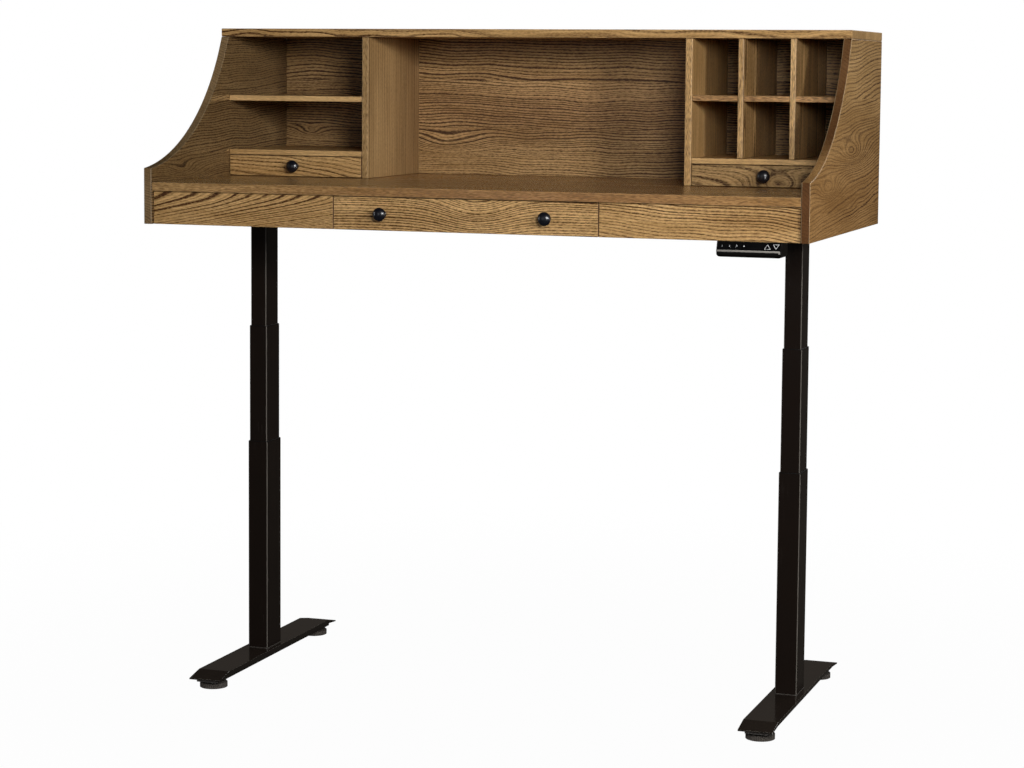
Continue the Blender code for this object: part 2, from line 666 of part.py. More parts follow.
def add_column_inside(lower, x, cavity, nut_bore):
    """Hollows the lower tube above its base plate and stands the spindle's nut tube on the plate."""
    top = LOWER_TUBE_TOP + CUT_MARGIN
    hollow = outline_mesh("hollow", [cavity], top - COLUMN_FLOOR)
    combine(lower, "DIFFERENCE", hollow, (x, COLUMN_Y, (top + COLUMN_FLOOR) / 2))
    nut_bottom = COLUMN_FLOOR - BASE_PLATE / 2
    nut_top = LOWER_TUBE_TOP - NUT_TUBE_DROP
    nut_tube = cylinder_mesh("nut_tube", nut_bore + NUT_TUBE_WALL, nut_top - nut_bottom)
    combine(lower, "UNION", nut_tube, (x, COLUMN_Y, (nut_top + nut_bottom) / 2))
    bore = cylinder_mesh("nut_bore", nut_bore, top - COLUMN_FLOOR)
    combine(lower, "DIFFERENCE", bore, (x, COLUMN_Y, (top + COLUMN_FLOOR) / 2))


def make_feet(base):
    front = COLUMN_Y + FOOT_SETBACK - FOOT_LENGTH / 2
    back = front + FOOT_LENGTH
    tip_top = FOOT_TOP - FOOT_SLOPE_DROP
    tip_bottom = tip_top - FOOT_EDGE
    side_bottom = FOOT_TOP - FOOT_SIDE
    channel_bottom = PAD_THICKNESS + PAD_CLEAR
    channel_half = FOOT_WIDTH / 2 - CHANNEL_INSET
    bends = (front + FOOT_SLOPE_LENGTH, back - FOOT_SLOPE_LENGTH)
    outline = [
        (front, tip_bottom), (bends[0], side_bottom), (bends[1], side_bottom), (back, tip_bottom),
        (back, tip_top), (bends[1], FOOT_TOP), (bends[0], FOOT_TOP), (front, tip_top)]
    pads = (("front", front + PAD_INSET), ("rear", back - PAD_INSET))
    pocket_clear = PAD_STUD_DIAMETER + CHANNEL_WALL
    for side, sign in SIDES:
        x = sign * COLUMN_X
        name = f"{side}_foot"
        foot = add_part(name, outline_mesh(name, [outline], FOOT_WIDTH), BLACK_STEEL, (x, 0, 0), base, INTO_YZ)
        round_edges(foot, EDGE_ROUND / 2)
        fuse_box(
            foot, (x - channel_half, front + CHANNEL_END_INSET, channel_bottom),
            (x + channel_half, back - CHANNEL_END_INSET, side_bottom + CHANNEL_BITE))
        pocket_half = channel_half - CHANNEL_WALL
        cut_box(
            foot, (x - pocket_half, pads[0][1] + pocket_clear, channel_bottom - CUT_MARGIN),
            (x + pocket_half, pads[1][1] - pocket_clear, FOOT_TOP - FOOT_PLATE))
        for end, y in pads:
            hole_top = PAD_THICKNESS + PAD_STUD_LENGTH + PAD_STUD_PLAY
            hole_bottom = channel_bottom - CUT_MARGIN
            hole = cylinder_mesh("pad_hole", PAD_STUD_DIAMETER / 2 + PAD_STUD_PLAY, hole_top - hole_bottom)
            combine(foot, "DIFFERENCE", hole, (x, y, (hole_top + hole_bottom) / 2))
            add_pad(f"{side}_{end}_pad", x, y, base)


def add_pad(name, x, y, base):
    """A levelling pad with a ribbed rim, and the stud that screws into the foot."""
    radii = (PAD_DIAMETER / 2, PAD_DIAMETER / 2 - PAD_RIB_DEPTH)
    rim = []
    for step in range(2 * PAD_RIBS):
        angle = math.pi * step / PAD_RIBS
        rim.append((radii[step % 2] * math.cos(angle), radii[step % 2] * math.sin(angle)))
    mesh = outline_mesh(name, [rim], PAD_THICKNESS)
    pad = add_part(name, mesh, PAD_RUBBER, (x, y, PAD_THICKNESS / 2), base)
    buried = PAD_THICKNESS / 2
    stud = cylinder_mesh("stud", PAD_STUD_DIAMETER / 2, PAD_STUD_LENGTH + buried)
    combine(pad, "UNION", stud, (x, y, PAD_THICKNESS + (PAD_STUD_LENGTH - buried) / 2))


def make_handset(desk):
    front = FRONT + HANDSET_SETBACK
    nose = (front + NOSE_RADIUS, HANDSET_TOP - HANDSET_HEIGHT + NOSE_RADIUS)
    rear = (front + HANDSET_DEPTH - REAR_RADIUS, HANDSET_TOP - HANDSET_HEIGHT + REAR_RADIUS)
    outline = [
        (front + HANDSET_DEPTH, HANDSET_TOP), (front + FACE_SLOPE, HANDSET_TOP),
        (front, HANDSET_TOP - FACE_HEIGHT)]
    outline += arc(nose, NOSE_RADIUS, math.pi, 1.5 * math.pi, CORNER_STEPS)
    outline += arc(rear, REAR_RADIUS, 1.5 * math.pi, 2 * math.pi, CORNER_STEPS)
    mesh = outline_mesh("handset_case", [outline], HANDSET_WIDTH)
    case = add_part("handset_case", mesh, BLACK_PLASTIC, (HANDSET_X, 0, 0), desk, INTO_YZ)
    round_edges(case, HANDSET_ROUND)
    round_handset_corners(case, front)
    frame = new_empty("handset_face_frame", (HANDSET_X, front + FACE_SLOPE / 2, HANDSET_TOP - FACE_HEIGHT / 2))
    frame.rotation_euler = (math.pi / 2 - math.atan2(FACE_SLOPE, FACE_HEIGHT), 0, 0)
    attach(frame, desk)
    bpy.context.view_layer.update()
    make_keys(case, frame)


def round_handset_corners(case, front):
    """Cuts the two lower corners of the case to an arc, as seen from the front."""
    bottom = HANDSET_TOP - HANDSET_HEIGHT
    middle_y = front + HANDSET_DEPTH / 2
    pivot = HANDSET_WIDTH / 2 - HANDSET_CORNER
    for side, sign in SIDES:
        curve = arc((pivot, bottom + HANDSET_CORNER), HANDSET_CORNER, 0, -math.pi / 2, CORNER_STEPS)
        outer = HANDSET_WIDTH / 2 + CUT_MARGIN
        outline = curve + [
            (pivot, bottom - CUT_MARGIN), (outer, bottom - CUT_MARGIN), (outer, bottom + HANDSET_CORNER)]
        corner = outline_mesh(f"{side}_corner", [[(sign * x, z) for x, z in outline]], HANDSET_DEPTH + CUT_MARGIN)
        combine(case, "DIFFERENCE", corner, (HANDSET_X, middle_y, 0), INTO_XZ)


def make_keys(case, frame):
    """The key plate, let into the sloping face of the case, and its keys over a well behind it.

    Places here are in the face's own frame: X along the handset, Y up the face and Z out of it.
    """
    width = HANDSET_WIDTH - 2 * (FACE_MARGIN + HANDSET_ROUND)
    height = math.hypot(FACE_SLOPE, FACE_HEIGHT) - 2 * FACE_MARGIN
    well_depth = KEY_DEPTH + KEY_TRAVEL + GAP
    seat = box_mesh("plate_seat", (width + 2 * GAP, height + 2 * GAP, FACE_PLATE + GAP + CUT_MARGIN))
    combine(case, "DIFFERENCE", seat, (0, 0, (CUT_MARGIN - FACE_PLATE - GAP) / 2), carrier=frame)
    well_size = (width - 2 * KEY_WELL_MARGIN, height - 2 * KEY_WELL_MARGIN, well_depth)
    combine(case, "DIFFERENCE", box_mesh("key_well", well_size), (0, 0, -well_depth / 2), carrier=frame)
    plate = add_on_face("handset_face", (width, height, FACE_PLATE), (0, 0, -FACE_PLATE / 2), frame)
    lift_x = width / 2 - LIFT_KEY_EDGE
    memory_x = MEMORY_KEY_EDGE - width / 2
    keys = [("down_key", LIFT_KEY_SIZE, lift_x), ("up_key", LIFT_KEY_SIZE, lift_x - LIFT_KEY_PITCH)]
    keys += [
        (f"memory_key_{number + 1}", MEMORY_KEY_SIZE, memory_x + number * MEMORY_KEY_PITCH)
        for number in range(MEMORY_KEYS)]
    for name, size, x in keys:
        window = box_mesh(f"{name}_window", (size[0] + 2 * GAP, size[1] + 2 * GAP, 2 * FACE_PLATE + CUT_MARGIN))
        combine(plate, "DIFFERENCE", window, (x, 0, 0), carrier=frame)
        add_on_face(name, (*size, KEY_DEPTH), (x, 0, -KEY_DEPTH / 2), frame)


def add_on_face(name, size, at, frame):
    part = bpy.data.objects.new(name, box_mesh(name, size))
    part.data.materials.append(FACE_PLASTIC)
    part.location = at
    part.parent = frame
    PARTS.objects.link(part)
    return part


def smooth_round_faces():
    sharp = math.radians(35)
    for part in PARTS.objects:
        if part.type == "MESH":
            part.data.shade_smooth()
            part.data.set_sharp_from_angle(angle=sharp)


def main():
    base = new_empty("base", (0, 0, 0))
    desk = new_empty("desk", (0, COLUMN_Y, UPPER_TUBE_TOP), base)
    make_side_panels(desk)
    make_desktop_and_aprons(desk)
    make_hutch(desk)
    make_wide_drawer(desk)
    make_hutch_drawers(desk)
    make_top_frame(desk)
    make_columns(base, desk)
    make_feet(base)
    make_handset(desk)
    smooth_round_faces()


main()
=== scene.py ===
"""Looks of the height-adjustable desk: stained oak cabinet, black lifting columns and handset.

Metres, +Z up. The front of the desk faces -Y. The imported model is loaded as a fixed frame; this
script gives each of its pieces a finish and adds the small pieces that only matter to the eye.
"""
import math

import bmesh
import bpy
from mathutils import Euler, Matrix, Vector


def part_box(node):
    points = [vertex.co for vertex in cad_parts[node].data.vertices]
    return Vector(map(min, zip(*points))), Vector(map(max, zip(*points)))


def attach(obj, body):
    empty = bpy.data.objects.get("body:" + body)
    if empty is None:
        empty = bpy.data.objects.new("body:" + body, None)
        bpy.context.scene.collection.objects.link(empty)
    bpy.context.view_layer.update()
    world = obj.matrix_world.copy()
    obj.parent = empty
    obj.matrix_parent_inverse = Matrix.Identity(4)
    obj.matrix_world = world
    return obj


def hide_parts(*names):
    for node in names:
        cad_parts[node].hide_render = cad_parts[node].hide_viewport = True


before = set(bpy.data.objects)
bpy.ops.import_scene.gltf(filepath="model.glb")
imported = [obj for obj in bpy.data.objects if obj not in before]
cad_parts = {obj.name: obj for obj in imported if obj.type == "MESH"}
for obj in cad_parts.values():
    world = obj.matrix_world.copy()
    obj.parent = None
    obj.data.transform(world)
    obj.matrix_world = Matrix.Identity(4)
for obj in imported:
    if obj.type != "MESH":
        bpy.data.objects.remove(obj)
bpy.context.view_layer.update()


# Camera

PHOTO_WIDTH = 1024
FOCAL_PIXELS = 2505.45
SENSOR_WIDTH = 36
CAMERA_PLACE = (1.8431, -5.4436, 1.4279)
CAMERA_YAW = 0.3283
CAMERA_PITCH = 0.0910
CAMERA_ROLL = 0.0082
FRAME_DROP_PIXELS = 84


def make_camera():
    ahead = Vector((
        -math.sin(CAMERA_YAW) * math.cos(CAMERA_PITCH),
        math.cos(CAMERA_YAW) * math.cos(CAMERA_PITCH),
        -math.sin(CAMERA_PITCH)))
    level = Vector((math.cos(CAMERA_YAW), math.sin(CAMERA_YAW), 0))
    upright = level.cross(ahead)
    roll = Matrix.Rotation(-CAMERA_ROLL, 3, ahead)
    right = roll @ level
    up = roll @ upright
    lens = bpy.data.cameras.new("photo_camera")
    lens.sensor_fit = "HORIZONTAL"
    lens.sensor_width = SENSOR_WIDTH
    lens.lens = SENSOR_WIDTH * FOCAL_PIXELS / PHOTO_WIDTH
    lens.shift_y = -FRAME_DROP_PIXELS / PHOTO_WIDTH
    camera = bpy.data.objects.new("photo_camera", lens)
    turn = Matrix((right, up, -ahead)).transposed()
    camera.matrix_world = Matrix.Translation(CAMERA_PLACE) @ turn.to_4x4()
    bpy.context.scene.collection.objects.link(camera)
    bpy.context.scene.camera = camera


def linear(red, green, blue):
    """A display colour of 0 to 255 as the linear colour that a shader takes."""
    levels = []
    for part in (red, green, blue):
        share = part / 255
        levels.append(share / 12.92 if share < 0.04045 else ((share + 0.055) / 1.055) ** 2.4)
    return (*levels, 1.0)


WHITE = (1.0, 1.0, 1.0, 1.0)


# Shader nodes

def feed(tree, socket, value):
    """Gives a socket a link or a plain value."""
    if isinstance(value, bpy.types.NodeSocket):
        tree.links.new(value, socket)
    else:
        socket.default_value = value


def add_node(tree, kind, inputs, **settings):
    node = tree.nodes.new(f"ShaderNode{kind}")
    for name, value in settings.items():
        setattr(node, name, value)
    for name, value in inputs.items():
        feed(tree, node.inputs[name], value)
    return node


def sums(tree, operation, first, second=0.0):
    return add_node(tree, "Math", {0: first, 1: second}, operation=operation).outputs[0]


def fade(tree, value, low, high, start=0.0, end=1.0):
    """A smooth step of a value from start to end."""
    inputs = {"Value": value, "From Min": low, "From Max": high, "To Min": start, "To Max": end}
    return add_node(tree, "MapRange", inputs, interpolation_type="SMOOTHSTEP").outputs["Result"]


def add_share(tree, base, part, share):
    """A base plus a share of another value."""
    return sums(tree, "ADD", base, sums(tree, "MULTIPLY", part, share))


def centred(tree, value):
    """A value of 0 to 1 as one of -0.5 to 0.5."""
    return sums(tree, "SUBTRACT", value, 0.5)


def clamped(tree, value):
    return add_node(tree, "Clamp", {"Value": value}).outputs[0]


def blend_colours(tree, share, first, second, kind="MIX"):
    node = add_node(tree, "Mix", {}, data_type="RGBA", blend_type=kind)
    feed(tree, node.inputs["Factor"], share)
    feed(tree, node.inputs[6], first)
    feed(tree, node.inputs[7], second)
    return node.outputs[2]


def toned(tree, share, colour, tone):
    """A colour with a tone laid over a share of it."""
    return blend_colours(tree, share, colour, blend_colours(tree, 1.0, colour, tone, "MULTIPLY"))


def grain_noise(tree, place, stretch, detail):
    """Soft noise from 0 to 1, with a scale per metre along each axis."""
    scaled = add_node(tree, "VectorMath", {0: place, 1: stretch}, operation="MULTIPLY").outputs[0]
    inputs = {"Vector": scaled, "Scale": 1.0, "Detail": detail, "Roughness": 0.55}
    return add_node(tree, "TexNoise", inputs).outputs["Fac"]


def new_group(name, vectors, values, colours):
    """A group of surface patterns, with its inputs of each kind, that puts out a colour and a relief."""
    group = bpy.data.node_groups.new(name, "ShaderNodeTree")
    for kind, labels in (("Vector", vectors), ("Float", values), ("Color", colours)):
        for label in labels:
            group.interface.new_socket(label, in_out="INPUT", socket_type=f"NodeSocket{kind}")
    for label, kind in (("Color", "Color"), ("Roughness", "Float"), ("Height", "Float")):
        group.interface.new_socket(label, in_out="OUTPUT", socket_type=f"NodeSocket{kind}")
    entry = group.nodes.new("NodeGroupInput").outputs
    leave = group.nodes.new("NodeGroupOutput").inputs
    return group, entry, leave


def add_group(tree, group, values):
    node = tree.nodes.new("ShaderNodeGroup")
    node.node_tree = group
    for label, value in values.items():
        feed(tree, node.inputs[label], value)
    return node.outputs


def start_finish(name):
    material = bpy.data.materials.new(name)
    material.use_nodes = True
    material.node_tree.nodes.clear()
    return material, material.node_tree


def show_shader(tree, shader):
    surface = add_node(tree, "OutputMaterial", {})
    tree.links.new(shader.outputs[0], surface.inputs["Surface"])


# Strength and depth of each relief
BOARD_RELIEF = (0.35, 0.0004)
DRAWER_RELIEF = (0.3, 0.0003)
SKIN_RELIEF = (0.2, 0.0002)


def end_finish(tree, coat, bump, depth, specular, metallic=0.0):
    """Puts a group's colour, roughness and relief on the shader of a finish."""
    relief = add_node(tree, "Bump", {"Height": coat["Height"], "Strength": bump, "Distance": depth})
    show_shader(tree, add_node(tree, "BsdfPrincipled", {
        "Base Color": coat["Color"], "Roughness": coat["Roughness"], "Metallic": metallic,
        "Normal": relief.outputs[0], "Specular IOR Level": specular}))


# Oak

# How often each pattern repeats per metre along, across and through a board
BROAD_WAVES = (4.5, 6.0, 6.0)
RIPPLES = (20.0, 24.0, 24.0)
RAGGED_LINES = (90.0, 260.0, 260.0)
BOLD_BANDS = (1.6, 11.0, 11.0)
PORES = (140.0, 480.0, 480.0)
FIBRES = (8.0, 300.0, 300.0)
MOTTLE = (3.0, 14.0, 14.0)
EDGE_FLECKS = (80.0, 760.0, 760.0)

STAVE_KEY = 7.31
LOG_LENGTH = 9.0
LEAST_PITH_DEPTH = 0.7
PITH_DEPTH_SPREAD = 0.6
RIPPLE_SHARE = 0.07
RAGGED_DEPTH = 0.0008
SEASON_RATE = 0.37
SEASON_SWING = 1.1
LINE_CORE = 0.35
PALEST_YEAR = 0.55
YEAR_SPREAD = 0.45
FAINT_LINE_RATE = 2.6
FAINT_LINE_SHARE = 0.32
PORES_IN_LINES = 0.30
LINES_WITHOUT_PORES = 0.85
PORES_BETWEEN_LINES = 0.24
END_CALM = 0.5
MOTTLE_TONE = 1.7
FIBRE_TONE = 1.5
STAVE_TONE = 0.5
LINE_MATTING = 0.16
FIBRE_MATTING = 0.10
FIBRE_RISE = 0.3

KNOTS = ("Knot", "Eye")
FIGURES = (*KNOTS, "Patch")


def knot_swell(tree, place, entry, knot):
    """How far a knot or a patch reaches, falling away smoothly from its middle."""
    away = add_node(tree, "VectorMath", {0: place, 1: entry[knot]}, operation="SUBTRACT").outputs[0]
    away = add_node(tree, "VectorMath", {0: away, 1: entry[f"{knot} Size"]}, operation="DIVIDE").outputs[0]
    square = add_node(tree, "VectorMath", {0: away, 1: away}, operation="DOT_PRODUCT").outputs["Value"]
    swell = sums(tree, "EXPONENT", sums(tree, "MULTIPLY", square, -1.0))
    return sums(tree, "MULTIPLY", swell, entry[f"{knot} Rise"])


def ring_lines(tree, entry, ring):
    """The dark early wood of the growth rings, with a fainter line or two between them."""
    season = add_node(
        tree, "TexNoise", {"W": sums(tree, "MULTIPLY", ring, SEASON_RATE), "Scale": 1.0, "Detail": 1.0},
        noise_dimensions="1D").outputs["Fac"]
    ring = add_share(tree, ring, season, SEASON_SWING)
    phase = sums(tree, "FRACT", ring)
    year = add_node(
        tree, "TexWhiteNoise", {"W": sums(tree, "FLOOR", ring)}, noise_dimensions="1D").outputs["Value"]
    line_core = sums(tree, "MULTIPLY", entry["Line Width"], LINE_CORE)
    line = fade(tree, phase, line_core, entry["Line Width"], 1.0, 0.0)
    early = sums(tree, "MAXIMUM", fade(tree, phase, 0.90, 0.98), line)
    early = sums(tree, "MULTIPLY", early, add_share(tree, PALEST_YEAR, year, YEAR_SPREAD))
    faint_phase = sums(tree, "FRACT", sums(tree, "MULTIPLY", ring, FAINT_LINE_RATE))
    faint = fade(tree, faint_phase, 0.10, 0.50, 1.0, 0.0)
    faint = sums(tree, "MAXIMUM", fade(tree, faint_phase, 0.80, 1.0), faint)
    return sums(tree, "MAXIMUM", early, sums(tree, "MULTIPLY", faint, FAINT_LINE_SHARE))


def make_oak_grain():
    """Boards sawn from a log: growth rings round a pith, dark pores in the early wood, fine fibres.

    Place has X along the grain, Y across the board and Z through it. A wide panel is glued up from
    staves, each cut from another spot of the log. Rounded edges are paler than the faces: partly wear, partly
    a painted highlight.
    """
    tree, entry, leave = new_group(
        "oak_grain",
        ("Place", "Facing", *FIGURES, *(f"{figure} Size" for figure in FIGURES)),
        ("Stave Width", "Spread", "Pith Aside", "Pith Depth", "Ring Spacing", "Figure", "Taper", "Tighten",
         "Seed", "Contrast", "Line Width", "Edge Fleck", "Gloss", "Rub",
         *(f"{figure} Rise" for figure in FIGURES)),
        ("Light", "Deep", "Pore", "Rubbed", "End Tone", "Edge Tone", "Patch Tone"))
    place = entry["Place"]
    along, across, through = add_node(tree, "SeparateXYZ", {0: place}).outputs
    stave = sums(tree, "FLOOR", sums(tree, "DIVIDE", across, entry["Stave Width"]))
    stave_key = add_share(tree, entry["Seed"], stave, STAVE_KEY)
    chance = add_node(tree, "TexWhiteNoise", {"W": stave_key}, noise_dimensions="1D").outputs["Color"]
    slide, swing, sink = add_node(tree, "SeparateColor", {0: chance}).outputs
    stave_middle = sums(tree, "MULTIPLY", sums(tree, "ADD", stave, 0.5), entry["Stave Width"])
    aside = add_share(tree, entry["Pith Aside"], centred(tree, swing), entry["Spread"])
    log_along = add_share(tree, along, slide, LOG_LENGTH)
    log_across = sums(tree, "ADD", sums(tree, "SUBTRACT", across, stave_middle), aside)
    log_deep = add_share(
        tree, through, entry["Pith Depth"], add_share(tree, LEAST_PITH_DEPTH, sink, PITH_DEPTH_SPREAD))
    log_place = add_node(tree, "CombineXYZ", {0: log_along, 1: log_across, 2: log_deep}).outputs[0]

    broad = centred(tree, grain_noise(tree, log_place, BROAD_WAVES, 1.0))
    ripple = centred(tree, grain_noise(tree, log_place, RIPPLES, 2.0))
    ragged = centred(tree, grain_noise(tree, log_place, RAGGED_LINES, 2.0))
    radius = sums(tree, "MULTIPLY", log_across, log_across)
    radius = sums(tree, "SQRT", add_share(tree, radius, log_deep, log_deep))
    radius = add_share(tree, radius, along, entry["Taper"])
    radius = add_share(tree, radius, broad, entry["Figure"])
    radius = add_share(tree, radius, ripple, sums(tree, "MULTIPLY", entry["Figure"], RIPPLE_SHARE))
    radius = add_share(tree, radius, ragged, RAGGED_DEPTH)
    for knot in KNOTS:
        radius = sums(tree, "ADD", radius, knot_swell(tree, place, entry, knot))
    crowding = add_share(tree, 1.0, radius, entry["Tighten"])
    ring = sums(tree, "DIVIDE", sums(tree, "MULTIPLY", radius, crowding), entry["Ring Spacing"])
    early = ring_lines(tree, entry, sums(tree, "ADD", ring, entry["Seed"]))
    boldness = fade(tree, grain_noise(tree, log_place, BOLD_BANDS, 1.0), 0.35, 0.65, 0.70, 1.20)
    early = sums(tree, "MULTIPLY", early, boldness)

    pores = fade(tree, grain_noise(tree, place, PORES, 2.0), 0.38, 0.64)
    fibres = grain_noise(tree, place, FIBRES, 3.0)
    mottle = grain_noise(tree, log_place, MOTTLE, 2.0)
    dark = sums(tree, "MULTIPLY", early, add_share(tree, LINES_WITHOUT_PORES, pores, PORES_IN_LINES))
    dark = sums(tree, "MULTIPLY", add_share(tree, dark, pores, PORES_BETWEEN_LINES), entry["Contrast"])

    facing = add_node(tree, "SeparateXYZ", {0: entry["Facing"]}).outputs
    end, edge, face = [sums(tree, "ABSOLUTE", part) for part in facing]
    on_end = fade(tree, end, 0.25, 0.60)
    on_edge = fade(tree, edge, 0.55, 0.85)
    flecked = sums(tree, "MULTIPLY", on_edge, entry["Edge Fleck"])
    flecks = fade(tree, grain_noise(tree, place, EDGE_FLECKS, 1.0), 0.38, 0.64)
    dark = sums(tree, "MULTIPLY", dark, sums(tree, "SUBTRACT", 1.0, sums(tree, "MULTIPLY", on_end, END_CALM)))
    dark = sums(tree, "MULTIPLY", dark, sums(tree, "SUBTRACT", 1.0, flecked))
    dark = clamped(tree, sums(tree, "MAXIMUM", dark, sums(tree, "MULTIPLY", flecks, flecked)))

    tone = sums(tree, "MULTIPLY", centred(tree, mottle), MOTTLE_TONE)
    tone = add_share(tree, tone, centred(tree, fibres), FIBRE_TONE)
    tone = add_share(tree, tone, centred(tree, slide), STAVE_TONE)
    colour = blend_colours(tree, clamped(tree, sums(tree, "ADD", tone, 0.5)), entry["Light"], entry["Deep"])
    colour = blend_colours(tree, dark, colour, entry["Pore"])
    colour = toned(tree, knot_swell(tree, place, entry, "Patch"), colour, entry["Patch Tone"])
    colour = toned(tree, on_end, colour, entry["End Tone"])
    colour = toned(tree, on_edge, colour, entry["Edge Tone"])
    # Rounded edges are paled, partly as wear and partly as a painted highlight along them
    rim = sums(tree, "MULTIPLY", fade(tree, face, 0.12, 0.45), fade(tree, face, 0.80, 0.97, 1.0, 0.0))
    pale_rim_and_highlight = sums(tree, "MULTIPLY", rim, fade(tree, mottle, 0.35, 0.65, 0.35, 1.0))
    pale_rim_and_highlight = sums(tree, "MULTIPLY", pale_rim_and_highlight, entry["Rub"])
    feed(tree, leave["Color"], blend_colours(tree, pale_rim_and_highlight, colour, entry["Rubbed"]))
    gloss = add_share(tree, sums(tree, "MULTIPLY", dark, LINE_MATTING), fibres, FIBRE_MATTING)
    feed(tree, leave["Roughness"], sums(tree, "ADD", gloss, entry["Gloss"]))
    feed(tree, leave["Height"], sums(tree, "SUBTRACT", sums(tree, "MULTIPLY", fibres, FIBRE_RISE), dark))
    return tree


# How a board lies: turns the desk's axes into along, across and through the board
LIE_FLAT = (0, 0, 0)
LIE_FRONT = (-math.pi / 2, 0, 0)
LIE_SIDE = (-math.pi / 2, -math.pi / 2, 0)
LIE_UPRIGHT = (0, math.pi / 2, 0)

# The pale rim colour is partly worn wood and partly a painted edge highlight
OAK_COLOURS = {
    "Light": linear(210, 171, 116), "Deep": linear(166, 129, 79), "Pore": linear(60, 33, 9),
    "Rubbed": linear(206, 184, 146)}

ONE_BOARD = 4.0
FAR = 9.0

PLAIN_BOARD = {
    "Stave Width": ONE_BOARD, "Spread": 0.0, "Pith Aside": 0.08, "Pith Depth": 0.05, "Ring Spacing": 0.0060,
    "Figure": 0.020, "Taper": 0.010, "Knot": (0, 0), "Knot Size": (FAR, FAR), "Knot Rise": 0.0,
    "Eye": (0, 0), "Eye Size": (FAR, FAR), "Eye Rise": 0.0, "Contrast": 1.0, "Edge Fleck": 0.0, "Gloss": 0.32,
    "Line Width": 0.42, "Patch": (0, 0), "Patch Size": (FAR, FAR), "Patch Rise": 0.0, "Rub": 0.12,
    "Tighten": 0.0, "End Tone": linear(160, 140, 138), "Edge Tone": WHITE,
    "Patch Tone": linear(204, 180, 168)}

SHELF_CUT = {"Stave Width": 0.110, "Spread": 0.2, "Contrast": 0.6, "Edge Fleck": 0.35}
UPRIGHT_CUT = {
    "Stave Width": 0.090, "Spread": 0.30, "Pith Aside": 0.06, "Ring Spacing": 0.0045, "Figure": 0.008,
    "Taper": 0.004, "Edge Fleck": 0.7, "Contrast": 1.3}
TALL_CUT = {
    **UPRIGHT_CUT, "Stave Width": ONE_BOARD, "Pith Aside": 0.30, "Ring Spacing": 0.011, "Contrast": 0.6}
# Drawer fronts get darker ends and edges: painted shade for the gaps round each drawer, on top of the darker
# end grain
DRAWER_EDGES_AND_GAP_SHADE = {"End Tone": linear(142, 122, 110), "Edge Tone": linear(142, 122, 110)}
